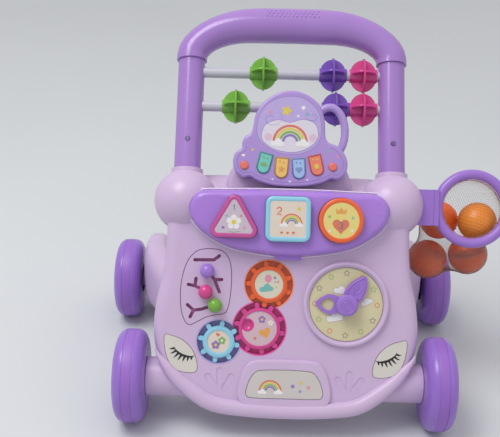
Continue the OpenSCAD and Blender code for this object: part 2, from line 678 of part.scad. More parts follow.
// ---- Gears ----
pin_r = 3;
tray_floor = 2;
module gear_pins(r, h) for (p = [gear_top_at, gear_mid_at, gear_low_at])
  translate([p[0], p[1], -well_depth]) cylinder(r = r, h = h);
module gear_tray() color([0.6, 0.15, 0.35]) on_panel() {
  difference() {
    translate([0, 0, -well_depth - tray_floor]) linear_extrude(well_depth + tray_floor) gear_wells(0);
    translate([0, 0, -well_depth]) linear_extrude(well_depth + 1) gear_wells(-1.2);
  }
  gear_pins(pin_r, well_depth - 4);
  gear_pins(pin_r + 2, 1.5);
}
gear_low = -well_depth + 1.5 + seat;
module gear(at, teeth, turn) {
  r = gear_module * teeth / 2;
  on_panel() translate([at[0], at[1], gear_low]) rotate(turn) difference() {
    union() {
      cylinder(r = r - 3.8, h = -gear_low);
      for (i = [0 : teeth - 1]) rotate(i * 360 / teeth) {
        translate([0, -peg_w / 2, 0]) cube([r + peg_out - peg_w / 2, peg_w, -gear_low - 1.5]);
        translate([r + peg_out - peg_w / 2, 0, 0]) cylinder(d = peg_w, h = -gear_low - 1.5, $fn = 32);
      }
    }
    translate([0, 0, -1]) cylinder(r = pin_r + shaft_gap, h = well_depth - 4 + 1 - 1.5);
    translate([0, 0, -gear_low - 0.6]) cylinder(r = r - 7, h = 1);
    children();
  }
}
// The three gears stand in mesh: a gap of one faces a tooth of the next
middle_turn = gear_top_dir + 180 / teeth_middle;
top_turn = gear_top_dir + 180;
pitch_angle = 360 / teeth_middle;
low_lead = gear_low_dir - middle_turn - pitch_angle * round((gear_low_dir - middle_turn) / pitch_angle);
low_turn = gear_low_dir + 180 + low_lead * teeth_middle / teeth_bottom + 180 / teeth_bottom;
module gear_top() color([0.92, 0.36, 0.16]) gear(gear_top_at, teeth_top, top_turn);
module gear_middle() color([0.84, 0.25, 0.58]) gear(gear_mid_at, teeth_middle, middle_turn)
  rotate(-middle_turn) translate([-14.5, 4, -gear_low + 3.2]) sphere(7.6);
module gear_bottom() color([0.55, 0.8, 0.9]) gear(gear_low_at, teeth_bottom, low_turn);

// ---- Clock ----
dial_t = 2.4;
hand_t = 3;
spindle_r = 3.5;
spindle_top = 12;
module dial_face() color([0.85, 0.81, 0.62]) on_panel() translate([clock_at[0], clock_at[1], 0]) {
  cylinder(d = dial_d, h = dial_t, $fn = 96);
  cylinder(r = spindle_r, h = spindle_top);
}
hour_low = dial_t + seat;
minute_low = hour_low + hand_t + seat;
hour_leaf = spline([[-8, 8], [-20, 12], [-30, 7.8], [-37, 0.5], [-30, -7.3], [-20, -12], [-8, -8]], 4);
hour_hole = spline([[-14.5, 0], [-19.5, 7.6], [-26, 5.6], [-31.5, 0.5], [-26, -5.2], [-19.5, -7.6]], 4);
minute_leaf = spline([[7, -8.5], [18, -11.5], [30, -9], [41.5, 0], [30, 9], [18, 11.5], [7, 8.5]], 4);
minute_dir = 56.5;
hour_eye_r = 11;
module hour_hand() color([0.66, 0.5, 0.82]) on_panel()
  translate([clock_at[0], clock_at[1], hour_low]) difference() {
  linear_extrude(hand_t) {
    polygon(hour_leaf);
    circle(hour_eye_r);
  }
  translate([0, 0, -1]) linear_extrude(hand_t + 2) polygon(hour_hole);
  translate([0, 0, -1]) cylinder(r = spindle_r + shaft_gap, h = hand_t + 2);
}
knob_h = 13;
module minute_hand() color([0.62, 0.46, 0.8]) on_panel() translate([clock_at[0], clock_at[1], minute_low])
  rotate(minute_dir) difference() {
    union() {
      linear_extrude(hand_t) polygon(minute_leaf);
      cylinder(d = knob_d, h = knob_h - 2);
      translate([0, 0, knob_h - 2]) cylinder(d1 = knob_d, d2 = knob_d - 4, h = 2);
    }
    translate([0, 0, -1]) cylinder(r = spindle_r + shaft_gap, h = spindle_top - minute_low + 1 + seat);
  }

// ---- Maze ----
purple_at = [-96.2, 160];
pink_at = [-97.8, 134.7];
green_at = [-85.9, 118.7];
purple_end = [-87.5, 149];
pink_end = [-111, 141];
green_end = [-103, 113];
maze_slots = [[[-112, 172.5], [-89, 173]], [[-89, 173], [-82.5, 178]],
  [purple_at, purple_end], [purple_end, [-79, 149.5]], [purple_end, [-81.5, 134.5]],
  [pink_at, pink_end], [pink_end, [-119, 142.5]], [pink_end, [-110, 150]],
  [green_at, green_end], [green_end, [-112, 111.5]], [[-112, 111.5], [-119.5, 118]],
  [[-112, 111.5], [-116, 103.5]]];
module maze_plate() color([0.79, 0.67, 0.83]) on_panel() difference() {
  union() {
    translate([0, 0, -maze_t]) linear_extrude(maze_t) polygon(maze_outline);
    translate([0, 0, -wall - 1.6]) linear_extrude(1.6) polygon(inset(maze_outline, 2.5));
  }
  translate([0, 0, -wall - 3]) linear_extrude(wall + 4)
    for (s = maze_slots) pill(s[0], s[1], slot_w / 2);
}
neck_r = slot_w / 2 - shaft_gap;
module maze_ball(at) on_panel() translate([at[0], at[1], 0]) {
  translate([0, 0, slider_d / 2 - 1.5]) difference() {
    sphere(d = slider_d);
    translate([0, 0, -slider_d - slider_d / 2 + 1.5 + seat]) cube(2 * slider_d, center = true);
  }
  translate([0, 0, -wall - 3.4]) cylinder(r = neck_r, h = wall + 5);
  translate([0, 0, -wall - 1.6 - seat - 1.5]) cylinder(r = neck_r + 2.4, h = 1.5);
}
module maze_ball_purple() color([0.62, 0.46, 0.82]) maze_ball(purple_at);
module maze_ball_pink() color([0.86, 0.27, 0.58]) maze_ball(pink_at);
module maze_ball_green() color([0.46, 0.73, 0.23]) maze_ball(green_at);

// ---- Toy piano ----
piano_half = piano_w / 2;
piano_foot = crown + 13.5;
piano_front = -2;
piano_rear = piano_front - piano_t;
piano_outline = spline([for (p = [[0, 0], [0.32, 1.5], [0.58, 6], [0.72, 11], [0.83, 10], [0.96, 17],
  [1, 29], [0.95, 41], [0.82, 51], [0.66, 55], [0.6, 63], [0.59, 74], [0.56, 88], [0.45, 103], [0.24, 113],
  [0, 117], [-0.26, 113], [-0.49, 102], [-0.62, 88], [-0.66, 73], [-0.7, 64], [-0.8, 60], [-0.85, 52],
  [-0.85, 46], [-0.96, 40], [-1, 29], [-0.95, 17], [-0.82, 10], [-0.7, 11.5], [-0.58, 7], [-0.32, 1.5]])
    [p[0] * piano_half, p[1] + piano_foot]], 3);
// Carrying loop at the toy's right side
loop_r = 4.8;
loop_path = [for (t = [138 : -12 : -66]) [47 + 19 * cos(t), piano_foot + 68 + 31 * sin(t)]];
loop_sizes = [for (p = loop_path) loop_r];
piano_seam = piano_rear + 5;
key_x = [-31.5, -10.5, 10.5, 31.5];
key_y = [28, 23, 22.5, 27];
key_lean = [14, 4, -4, -14];
key_w = 16;
key_len = 25;
key_rise = 1.4;
key_depth = 4;
module key_shape(i, grow) translate([key_x[i], piano_foot + key_y[i]]) rotate(-key_lean[i]) {
  translate([0, -key_len / 2 + key_w / 2]) {
    circle(key_w / 2 + grow);
    translate([-key_w / 2 - grow, 0]) square([key_w + 2 * grow, key_len - key_w / 2 + grow]);
  }
}
key_under = 0.5;        // clearance under a pressed key
key_floor = piano_front - key_depth - key_travel - key_under;
toy_button_r = 5;
toy_buttons = [[-55.5, 25], [51.5, 25.5]];
tongue_w = 30;
tongue_low = piano_foot + 4;
tongue_high = piano_foot + 44;
tongue_t = 4;

module piano_case() color([0.7, 0.55, 0.84]) on_panel() difference() {
  translate([0, 0, piano_seam]) loft(concat([at_height(piano_outline, 0)],
    [for (t = [0 : 30 : 90]) at_height(inset(piano_outline, 3 * (1 - cos(t))),
      piano_front - piano_seam - 3 * (1 - sin(t)))]));
  translate([0, 0, piano_seam - 1]) loft([at_height(inset(piano_outline, 2.6), 0),
    at_height(inset(piano_outline, 2.6), key_floor - piano_seam - 1.5)]);
  for (i = [0 : 3]) translate([0, 0, key_floor]) linear_extrude(piano_t) key_shape(i, 0.3);
  for (p = toy_buttons) translate([p[0], piano_foot + p[1], key_floor])
    cylinder(r = toy_button_r + fit, h = piano_t);
}
// The loop ends against the side of the case
module piano_loop() color([0.7, 0.55, 0.84]) on_panel() difference() {
  translate([0, 0, piano_front - loop_r - 6.5]) bar(loop_path, loop_sizes, loop_sizes, 14);
  translate([0, 0, piano_rear]) linear_extrude(piano_t) polygon(inset(piano_outline, -eps));
}
module piano_back() color([0.66, 0.5, 0.8]) on_panel() difference() {
  loft([at_height(inset(piano_outline, 2), piano_rear), at_height(piano_outline, piano_rear + 2),
    at_height(piano_outline, piano_seam)]);
  translate([-tongue_w / 2 - fit, 0, piano_rear - 1])
    cube([tongue_w + 2 * fit, tongue_high + seat, tongue_t + seat + 1]);
}
module piano_key(i) on_panel() translate([0, 0, piano_front - key_depth - fit])
  linear_extrude(key_depth + key_rise) key_shape(i, 0);
module piano_key_1() color([0.4, 0.78, 0.72]) piano_key(0);
module piano_key_2() color([0.93, 0.75, 0.4]) piano_key(1);
module piano_key_3() color([0.6, 0.75, 0.9]) piano_key(2);
module piano_key_4() color([0.93, 0.48, 0.38]) piano_key(3);
module piano_button(i) color([0.93, 0.42, 0.4]) on_panel()
  translate([toy_buttons[i][0], piano_foot + toy_buttons[i][1], piano_front - key_depth - fit]) {
    cylinder(r = toy_button_r, h = key_depth + key_rise);
    translate([0, 0, key_depth + key_rise]) cylinder(r1 = toy_button_r, r2 = toy_button_r - 1.2, h = 0.8);
  }
module piano_button_left() piano_button(0);
module piano_button_right() piano_button(1);

dock_outline = spline(both_halves([for (p = [[0, -20], [60, -20], [77, -14], [78, 12], [75, 28], [66, 44],
  [50, 56], [28, 63], [0, 66]]) p + [0, crown]]), 3);
dock_front = piano_rear - seat;
dock_t = 24;
dock_wall = 5;
deck_z = panel_z + max([for (p = body_outline) p[1]]) * cos(panel_tilt) + eps;
module piano_dock() color([0.79, 0.67, 0.83]) difference() {
  on_panel() {
    pillow(dock_outline, dock_front - dock_t, dock_front, 8);
    translate([-tongue_w / 2, tongue_low, dock_front - eps])
      cube([tongue_w, tongue_high - tongue_low, tongue_t]);
  }
  on_panel() translate([0, 0, dock_front - dock_t - 1]) linear_extrude(dock_t + 1 - wall)
    polygon(inset(dock_outline, dock_wall));
  translate([-150, -300, deck_z - 200]) cube([300, 600, 200]);
}

// ---- Ball hoop ----
hoop_x = shoulder_x + 99.5;
hoop_up = shoulder_up - 0.8;
hoop_c = -shoulder_back;
bracket_w = 24;
bracket_h = 44;
bracket_t = 16;
groove_x = shoulder_x + shoulder_r + 12;
rail_w = 6;
module hoop_bracket() color([0.62, 0.44, 0.8]) on_panel() difference() {
  translate([groove_x - bracket_w, hoop_up - bracket_h / 2, hoop_c - bracket_t / 2])
    cube([bracket_w, bracket_h, bracket_t]);
  shoulders(shoulder_r);
  translate([groove_x - 7, hoop_up - bracket_h / 2 + 4, hoop_c - rail_w / 2 - fit])
    cube([10, bracket_h, rail_w + 2 * fit]);
}
module hoop_ring() color([0.6, 0.42, 0.8]) on_panel() {
  translate([hoop_x, hoop_up, hoop_c]) rotate_extrude($fn = 96)
    translate([hoop_d / 2, 0]) circle(d = hoop_t, $fn = 32);
  difference() {
    union() {
      translate([groove_x + seat, hoop_up - bracket_h / 2, hoop_c - bracket_t / 2])
        cube([hoop_x - hoop_d / 2 - groove_x, bracket_h, bracket_t]);
      translate([groove_x - 6.5, hoop_up - bracket_h / 2 + 4 + seat, hoop_c - rail_w / 2])
        cube([10, bracket_h - 4 - seat, rail_w]);
    }
    translate([hoop_x, hoop_up, hoop_c - 20]) cylinder(d = hoop_d, h = 40, $fn = 96);
  }
}

// Net bag: rings from the mouth, which stands square to the sloping face, round to the hanging bottom
module play_ball(at) translate(at) difference() {
  sphere(d = ball_d);
  sphere(d = ball_d - 2 * ball_wall);
}
hoop_y = panel_y + hoop_up * sin(panel_tilt) - hoop_c * cos(panel_tilt);
hoop_z = panel_z + hoop_up * cos(panel_tilt) + hoop_c * sin(panel_tilt);
mouth = [hoop_x, hoop_y, hoop_z];
net_stations = [
  // shift of the ring's centre from the mouth's centre, lean of the ring, half width, half depth
  [[0, 2, -1], 65, 36, 36],
  [[1, 10, -5], 62, 41, 40.5],
  [[-2, 24, -23], 45, 51, 50],
  [[-8, 28.5, -39], 25, 56, 50],
  [[-16, 26, -58], 8, 57.5, 43],
  [[-18.5, 23, -80], 3, 58, 33],
  [[-21, 23, -97], 0, 50, 29.5],
  [[-25, 23, -107], 0, 36, 20],
  [[-27, 23, -110], 0, 17, 9]];
net_sides = 28;
function net_ring(s, in, lift) = [for (k = [0 : net_sides - 1])
  let (q = -k * 360 / net_sides, w = (s[2] - in) * cos(q), d = (s[3] - in) * sin(q))
    mouth + s[0] + [w, d * cos(s[1]), d * sin(s[1]) + lift]];
net_last = len(net_stations) - 1;
function net_rings(from, in) = [for (i = [from : net_last])
  net_ring(net_stations[i], in, i == net_last ? in : 0)];
above_mouth = [[-0.3, -0.4, 0.2], 66, 34.5, 34.6];
module hoop_net() color([0.9, 0.9, 0.92]) difference() {
  loft(net_rings(0, 0));
  loft(concat([net_ring(above_mouth, net_t, 0)], net_rings(1, net_t)));
}
ball_wall = 2;
ball_spots = [[-42, 23, -82.7], [8.2, 23, -75], [-29.5, 41, -35.5], [13.1, 16.4, -24.8]];
module play_balls() color([0.94, 0.54, 0.16]) for (s = ball_spots) play_ball(mouth + s);

// ---- Inside ----
module battery_door() color([0.75, 0.62, 0.8]) on_panel()
  translate([door_at[0], door_at[1], -back_face]) linear_extrude(door_t)
    rounded_box(door_w - 2 * fit, door_h - 2 * fit, 4 - fit);
cell_pitch = cell_d + 0.4;
cell_level = -back_face + door_t + seat + cell_d / 2;
module battery_cells() color([0.8, 0.6, 0.2]) on_panel()
  for (i = [-1 : 1]) translate([door_at[0] - cell_len / 2, door_at[1] + i * cell_pitch, cell_level])
    rotate([0, 90, 0]) cylinder(d = cell_d, h = cell_len);
module speaker() color([0.25, 0.25, 0.27]) on_panel()
  translate([speaker_at[0], speaker_at[1], -back_face + skin + speaker_pad + eps]) {
  cylinder(d = speaker_d, h = 4);
  translate([0, 0, 4]) cylinder(d1 = speaker_d - 4, d2 = speaker_d / 2, h = 6);
  translate([0, 0, 10]) cylinder(d = speaker_d / 2, h = 5);
}
switch_travel = 6;
module power_switch() color([0.3, 0.3, 0.33]) on_panel()
  translate([switch_at[0] - switch_travel / 2, switch_at[1], -back_face]) {
  translate([0, 0, -2]) linear_extrude(wall + 2.5) square([9, 5.6], center = true);
  translate([0, 0, wall + 0.1]) linear_extrude(1.5) square([28, 12], center = true);
}
module screws() color([0.35, 0.33, 0.38]) {
  on_handle() both_sides() translate([shoulder_x, tube_screw_up, tube_d / 2 - tube_wall - 1.5]) {
    cylinder(r = screw_r, h = tube_wall + 1.5);
    translate([0, 0, tube_wall + 1.5]) cylinder(r1 = head_r, r2 = head_r - 0.6, h = 1);
  }
  on_panel() {
    bosses(pilot_r - eps, -back_face + screw_well - fit - 1, 14);
    bosses(head_r, -back_face + screw_well - fit - head_h, head_h);
  }
}

front_shell();
back_shell();
rear_leg_left();
rear_leg_right();
console_panel();
nameplate();
eye_inlays();
dial_face();
maze_plate();
gear_tray();
handle_grip();
handle_tube_left();
handle_tube_right();
abacus_rods();
axles();
hoop_bracket();
battery_door();
battery_cells();
circuit_board();
speaker();
screws();
piano_dock();
front_wheel_left();
front_wheel_right();
rear_wheel_left();
rear_wheel_right();
front_band_left();
front_band_right();
rear_band_left();
rear_band_right();
gear_top();
gear_middle();
gear_bottom();
hour_hand();
minute_hand();
triangle_button();
square_button();
round_button();
upper_bead_green();
upper_bead_purple();
upper_bead_pink();
lower_bead_green();
lower_bead_purple();
lower_bead_pink();
maze_ball_purple();
maze_ball_pink();
maze_ball_green();
piano_case();
piano_loop();
piano_back();
piano_key_1();
piano_key_2();
piano_key_3();
piano_key_4();
piano_button_left();
piano_button_right();
hoop_ring();
hoop_net();
play_balls();
power_switch();
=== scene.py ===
# Push-along baby walker: an activity panel on four wheels with a lift-off toy piano, an abacus
# handle and a net hoop for play balls.
import math

import bmesh
import bpy
from mathutils import Matrix, Vector
from mathutils.kdtree import KDTree
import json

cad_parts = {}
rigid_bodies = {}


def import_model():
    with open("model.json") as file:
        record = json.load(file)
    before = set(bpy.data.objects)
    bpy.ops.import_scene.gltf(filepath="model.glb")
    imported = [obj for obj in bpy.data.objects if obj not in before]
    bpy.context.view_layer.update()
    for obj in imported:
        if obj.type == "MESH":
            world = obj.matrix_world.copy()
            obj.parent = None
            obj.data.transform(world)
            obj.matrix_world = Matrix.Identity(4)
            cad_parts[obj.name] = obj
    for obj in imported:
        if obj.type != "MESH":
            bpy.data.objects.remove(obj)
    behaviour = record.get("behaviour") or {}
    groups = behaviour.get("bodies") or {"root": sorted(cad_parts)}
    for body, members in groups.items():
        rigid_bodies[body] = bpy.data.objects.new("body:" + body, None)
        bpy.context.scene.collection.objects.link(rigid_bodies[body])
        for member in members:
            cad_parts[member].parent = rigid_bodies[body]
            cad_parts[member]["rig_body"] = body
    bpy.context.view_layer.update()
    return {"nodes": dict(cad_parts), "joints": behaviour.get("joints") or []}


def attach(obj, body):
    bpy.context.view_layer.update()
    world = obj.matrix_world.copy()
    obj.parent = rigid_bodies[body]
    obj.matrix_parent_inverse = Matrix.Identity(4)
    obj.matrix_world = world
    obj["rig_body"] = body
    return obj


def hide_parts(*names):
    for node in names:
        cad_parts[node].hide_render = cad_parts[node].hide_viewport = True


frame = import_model()

# ---- Studio ----
# A pale seamless floor, one large soft lamp high on the left, a weak one from the right and a sky
# that is brightest overhead. The camera stands in front and looks down on the walker.
look_at = Vector((-0.0476, 0, 0.2184))
camera_distance = 1.096
azimuth, elevation, roll = (math.radians(a) for a in (0.69, 25.18, 1.28))
flat = math.cos(elevation)
toward = Vector((math.sin(azimuth) * flat, -math.cos(azimuth) * flat, math.sin(elevation)))
level = Vector((math.cos(azimuth), math.sin(azimuth), 0))
plumb = toward.cross(level)
across = math.cos(roll) * level + math.sin(roll) * plumb
upward = math.cos(roll) * plumb - math.sin(roll) * level
lens = bpy.data.cameras.new("camera")
lens.sensor_width = 36
lens.lens = 61.2
camera = bpy.data.objects.new("camera", lens)
camera.matrix_world = (
    Matrix.Translation(look_at + camera_distance * toward)
    @ Matrix((across, upward, toward)).transposed().to_4x4()
)
bpy.context.scene.collection.objects.link(camera)
bpy.context.scene.camera = camera
bpy.context.scene.view_settings.view_transform = "Standard"


def ink(hexadecimal):
    """A colour written as sRGB hex, as the linear colour that a socket takes."""
    shares = [int(hexadecimal[i : i + 2], 16) / 255 for i in (0, 2, 4)]
    return [s / 12.92 if s < 0.04045 else ((s + 0.055) / 1.055) ** 2.4 for s in shares] + [1]


def add_node(tree, kind, links=None, **settings):
    """Add a node with its settings; links feed its inputs from other nodes or with plain values."""
    made = tree.nodes.new(kind)
    for name, value in settings.items():
        setattr(made, name, value)
    for name, value in (links or {}).items():
        if isinstance(value, bpy.types.NodeSocket):
            tree.links.new(value, made.inputs[name])
        else:
            made.inputs[name].default_value = value
    return made


sky = bpy.data.worlds.new("even_sky")
bpy.context.scene.world = sky
sky.use_nodes = True
tree = sky.node_tree
tree.nodes.clear()
ray = add_node(tree, "ShaderNodeLightPath").outputs
mirrored = add_node(tree, "ShaderNodeMath",
                    {0: ray["Is Camera Ray"], 1: ray["Is Glossy Ray"]}, operation="MAXIMUM")
direct = add_node(tree, "ShaderNodeMath",
                  {0: mirrored.outputs[0], 1: ray["Is Transmission Ray"]}, operation="MAXIMUM")
way = add_node(tree, "ShaderNodeTexCoord").outputs["Generated"]
height = add_node(tree, "ShaderNodeSeparateXYZ", {"Vector": way}).outputs["Z"]
overhead = add_node(tree, "ShaderNodeMapRange",
                    {"Value": height, "From Min": -0.1, "To Min": 0.15, "To Max": 1.0})
soft_light = add_node(tree, "ShaderNodeBackground",
                      {"Color": ink("FFFDFC"), "Strength": overhead.outputs["Result"]})
backdrop = add_node(tree, "ShaderNodeBackground", {"Color": ink("C8CACE"), "Strength": 1.0})
either = add_node(tree, "ShaderNodeMixShader", {"Fac": direct.outputs[0]})
tree.links.new(soft_light.outputs[0], either.inputs[1])
tree.links.new(backdrop.outputs[0], either.inputs[2])
add_node(tree, "ShaderNodeOutputWorld", {"Surface": either.outputs[0]})

for name, spot, size, power in (
    ("window_lamp", (-0.95, -0.5, 2.45), 1.2, 30),
    ("side_lamp", (1.9, -1.2, 1.1), 1.6, 1.5),
):
    lamp = bpy.data.lights.new(name, "AREA")
    lamp.size = size
    lamp.energy = power
    holder = bpy.data.objects.new(name, lamp)
    aim = Vector((0, 0, 0.2)) - Vector(spot)
    holder.matrix_world = Matrix.Translation(spot) @ aim.to_track_quat("-Z", "Y").to_matrix().to_4x4()
    bpy.context.scene.collection.objects.link(holder)

# Matt paper: no gloss, and a slow unevenness of tone from how it lies
paper = bpy.data.materials.new("matt_background_paper")
paper.use_nodes = True
tree = paper.node_tree
where = add_node(tree, "ShaderNodeTexCoord").outputs["Object"]
drift = add_node(tree, "ShaderNodeTexNoise", {"Vector": where, "Scale": 1.5, "Detail": 2})
tone = add_node(tree, "ShaderNodeMix", {"Factor": drift.outputs["Fac"]}, data_type="RGBA")
tone.inputs["A"].default_value = ink("CBCFD3")
tone.inputs["B"].default_value = ink("D2D6D9")
tree.links.new(tone.outputs["Result"], tree.nodes["Principled BSDF"].inputs["Base Color"])
tree.nodes["Principled BSDF"].inputs["Roughness"].default_value = 0.95
tree.nodes["Principled BSDF"].inputs["Specular IOR Level"].default_value = 0.2
shape = bmesh.new()
bmesh.ops.create_grid(shape, x_segments=8, y_segments=8, size=6)
sheet = bpy.data.meshes.new("floor")
shape.to_mesh(sheet)
shape.free()
sheet.materials.append(paper)
floor = bpy.data.objects.new("floor", sheet)
bpy.context.scene.collection.objects.link(floor)

# ---- Casing ----
# Front and back halves of the hollow body and the two rear legs, injection moulded in lilac ABS
# and screwed together from behind. Smooth satin skin with soft, broad highlights.
# Shapes on the sloping face are drawn in mm: x along it, y up it and z out of it
panel_tilt = 25
panel_foot = (0, -0.158, 0.045)
on_face = (
    Matrix.Translation(panel_foot)
    @ Matrix.Rotation(math.radians(90 - panel_tilt), 4, "X")
    @ Matrix.Scale(0.001, 4)
)


def moulded_abs(name, colour, pale, roughness=0.34, mottle=60, peel=1.6):
    """ABS from a polished mould: satin, its colour clouded over mottle mm, its skin over peel mm."""
    finish = bpy.data.materials.new(name)
    finish.use_nodes = True
    tree = finish.node_tree
    plastic = tree.nodes["Principled BSDF"]
    plastic.inputs["IOR"].default_value = 1.53
    where = add_node(tree, "ShaderNodeTexCoord").outputs["Object"]
    slow = add_node(tree, "ShaderNodeTexNoise",
                    {"Vector": where, "Scale": 1000 / mottle, "Detail": 2}).outputs["Fac"]
    tone = add_node(tree, "ShaderNodeMix", {"Factor": slow}, data_type="RGBA")
    tone.inputs["A"].default_value = ink(colour)
    tone.inputs["B"].default_value = ink(pale)
    tree.links.new(tone.outputs["Result"], plastic.inputs["Base Color"])
    sheen = add_node(tree, "ShaderNodeMapRange",
                     {"Value": slow, "To Min": roughness - 0.05, "To Max": roughness + 0.05})
    tree.links.new(sheen.outputs["Result"], plastic.inputs["Roughness"])
    skin = add_node(tree, "ShaderNodeTexNoise",
                    {"Vector": where, "Scale": 1000 / peel, "Detail": 1}).outputs["Fac"]
    bump = add_node(tree, "ShaderNodeBump", {"Height": skin, "Strength": 0.06, "Distance": 0.0002})
    tree.links.new(bump.outputs["Normal"], plastic.inputs["Normal"])
    return finish


def set_piece(name, shape, finishes, body, stands_for=(), crease=32):
    """Make a finished shape into a piece that rides on a body and may stand for CAD nodes."""
    mesh = bpy.data.meshes.new(name)
    shape.to_mesh(mesh)
    shape.free()
    # The normals that came with the node would hide the edges marked sharp below
    old_normals = mesh.attributes.get("custom_normal")
    if old_normals:
        mesh.attributes.remove(old_normals)
    mesh.shade_smooth()
    mesh.set_sharp_from_angle(angle=math.radians(crease))
    for finish in finishes:
        mesh.materials.append(finish)
    made = bpy.data.objects.new(name, mesh)
    bpy.context.scene.collection.objects.link(made)
    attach(made, body)
    if stands_for:
        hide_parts(*stands_for)
    return made


def moulding(name, finishes, soften=0, crease=32, choose=None):
    """The node's own shape with its loose triangles joined; soften rounds its hard edges, in mm."""
    source = frame["nodes"][name]
    shape = bmesh.new()
    shape.from_mesh(source.data)
    bmesh.ops.remove_doubles(shape, verts=shape.verts, dist=0.00001)
    for face in shape.faces:
        face.material_index = choose(face) if choose else 0
    made = set_piece(f"{name}_moulding", shape, finishes, source["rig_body"], (name,), crease)
    if soften:
        bevel = made.modifiers.new("rounded_edges", "BEVEL")
        bevel.width = soften / 1000
        bevel.segments = 2
        bevel.limit_method = "ANGLE"
        bevel.angle_limit = math.radians(40)
    evened = made.modifiers.new("even_shading", "WEIGHTED_NORMAL")
    evened.weight = 100
    evened.keep_sharp = True
    return made


lilac = moulded_abs("lilac_moulded_abs", "CAB1D4", "D1B9DB")
for name in ("front_shell", "back_shell", "rear_leg_left", "rear_leg_right"):
    moulding(name, [lilac], crease=29)

# ---- Rear details ----
# Battery door with a finger catch, a sliding switch in black ABS, blackened pan-head screws and
# zinc-plated axles. The parts inside the casing keep their plain shapes: cells in printed jackets,
# a green circuit board and a black loudspeaker.
moulding("battery_door", [lilac], soften=0.5)
black = moulded_abs("black_moulded_abs", "2B2A2E", "34333A", roughness=0.42)
moulding("power_switch", [black], soften=0.4)
# Zinc plating: a fine crystal spangle that varies both its tone and its gloss
zinc = bpy.data.materials.new("zinc_plated_steel")
zinc.use_nodes = True
tree = zinc.node_tree
where = add_node(tree, "ShaderNodeTexCoord").outputs["Object"]
spangle = add_node(tree, "ShaderNodeTexVoronoi", {"Vector": where, "Scale": 900.0})
shade = add_node(tree, "ShaderNodeMix", {"Factor": spangle.outputs["Distance"]}, data_type="RGBA")
shade.inputs["A"].default_value = ink("A9A9AD")
shade.inputs["B"].default_value = ink("C4C5CA")
metal = tree.nodes["Principled BSDF"]
metal.inputs["Metallic"].default_value = 1
tree.links.new(shade.outputs["Result"], metal.inputs["Base Color"])
dull = add_node(tree, "ShaderNodeMapRange",
                {"Value": spangle.outputs["Distance"], "To Min": 0.28, "To Max": 0.42})
tree.links.new(dull.outputs["Result"], metal.inputs["Roughness"])
dark_steel = zinc.copy()
dark_steel.name = "blackened_steel"
dark_steel.node_tree.nodes["Mix"].inputs["A"].default_value = ink("7E6E94")
dark_steel.node_tree.nodes["Mix"].inputs["B"].default_value = ink("8E7EA4")
moulding("screws", [dark_steel], soften=0.2)
moulding("axles", [zinc])
inner = (
    ("battery_cells", moulded_abs("printed_cell_jacket", "B98A2E", "C79A3C"), "cell_jacket"),
    ("circuit_board", moulded_abs("green_solder_mask", "1E6B3C", "257A46"), "board_green"),
    ("speaker", black, "dark_plastic"),
)
for name, finish, slot in inner:
    held = frame["nodes"][name]
    held.data.materials.clear()
    held.data.materials.append(finish)

# ---- Wheels ----
# Hollow purple ABS wheels on steel axles, each with a softer band stretched over its tread. The
# band is moulded TPE: a shade pinker and duller, with a fine texture.
purple = moulded_abs("purple_moulded_abs", "9A70CB", "A47AD2", roughness=0.3)
wheel_purple = moulded_abs("deep_purple_moulded_abs", "9068C6", "9A72CE", roughness=0.26)
grip_band = moulded_abs("mauve_tpe_band", "9263C2", "9C6DCA", roughness=0.45, peel=1.1)
for place in ("front", "rear"):
    for hand in ("left", "right"):
        moulding(f"{place}_wheel_{hand}", [wheel_purple])
        moulding(f"{place}_band_{hand}", [grip_band])

# ---- Eyes ----
# Two cream leaf-shaped inlays pressed into the face, each printed with a closed lash row in
# black ink.
def add_ring(shape, sides, place):
    """Add a unit circle moved by a matrix, and return its edges."""
    corners = bmesh.ops.create_circle(shape, segments=sides, radius=1, matrix=place)["verts"]
    return list({edge for corner in corners for edge in corner.link_edges})


def lay_bead(shape, path, width, rise, level=0.0, closed=False, sides=8, ink_number=0, taper=0.0):
    """Lay a bead along a flat path: its width and rise in mm, its level, and how thin it ends."""
    rings = []
    count = len(path)
    for i, spot in enumerate(path):
        last = path[i - 1] if closed or i else spot
        following = path[(i + 1) % count] if closed or i < count - 1 else spot
        run = (Vector((*following, 0)) - Vector((*last, 0))).normalized()
        share = 1.0 if closed else 1 - taper * abs(2 * i / (count - 1) - 1) ** 2
        side = Vector((-run.y, run.x, 0)) * width / 2 * share
        frame_here = Matrix((side, Vector((0, 0, rise * share)), run)).transposed().to_4x4()
        frame_here.translation = (*spot, level)
        rings.append(add_ring(shape, sides, frame_here))
    skin = []
    for a, b in zip(rings, rings[1:] + rings[:1] if closed else rings[1:]):
        skin += bmesh.ops.bridge_loops(shape, edges=a + b)["faces"]
    if not closed:
        skin += bmesh.ops.edgeloop_fill(shape, edges=rings[0])["faces"]
        skin += bmesh.ops.edgeloop_fill(shape, edges=rings[-1])["faces"]
    for face in skin:
        face.material_index = ink_number


def lay_flat(shape, outline, low, high, ink_number=0):
    """Lay a flat cut-out between two levels, as a printed film or a thin moulded plate."""
    corners = [shape.verts.new((*spot, low)) for spot in outline]
    sole = shape.faces.new(corners)
    raised = bmesh.ops.extrude_face_region(shape, geom=[sole], use_keep_orig=True)["geom"]
    moved = [part for part in raised if isinstance(part, bmesh.types.BMVert)]
    bmesh.ops.translate(shape, verts=moved, vec=(0, 0, high - low))
    for corner in corners + moved:
        for face in corner.link_faces:
            face.material_index = ink_number


def arc(x, y, radius, start, stop, steps=12, squash=1.0):
    """Points on an arc about (x, y), from one angle to another, in degrees."""
    turns = [math.radians(start + (stop - start) * i / steps) for i in range(steps + 1)]
    return [(x + radius * math.cos(t), y + radius * squash * math.sin(t)) for t in turns]


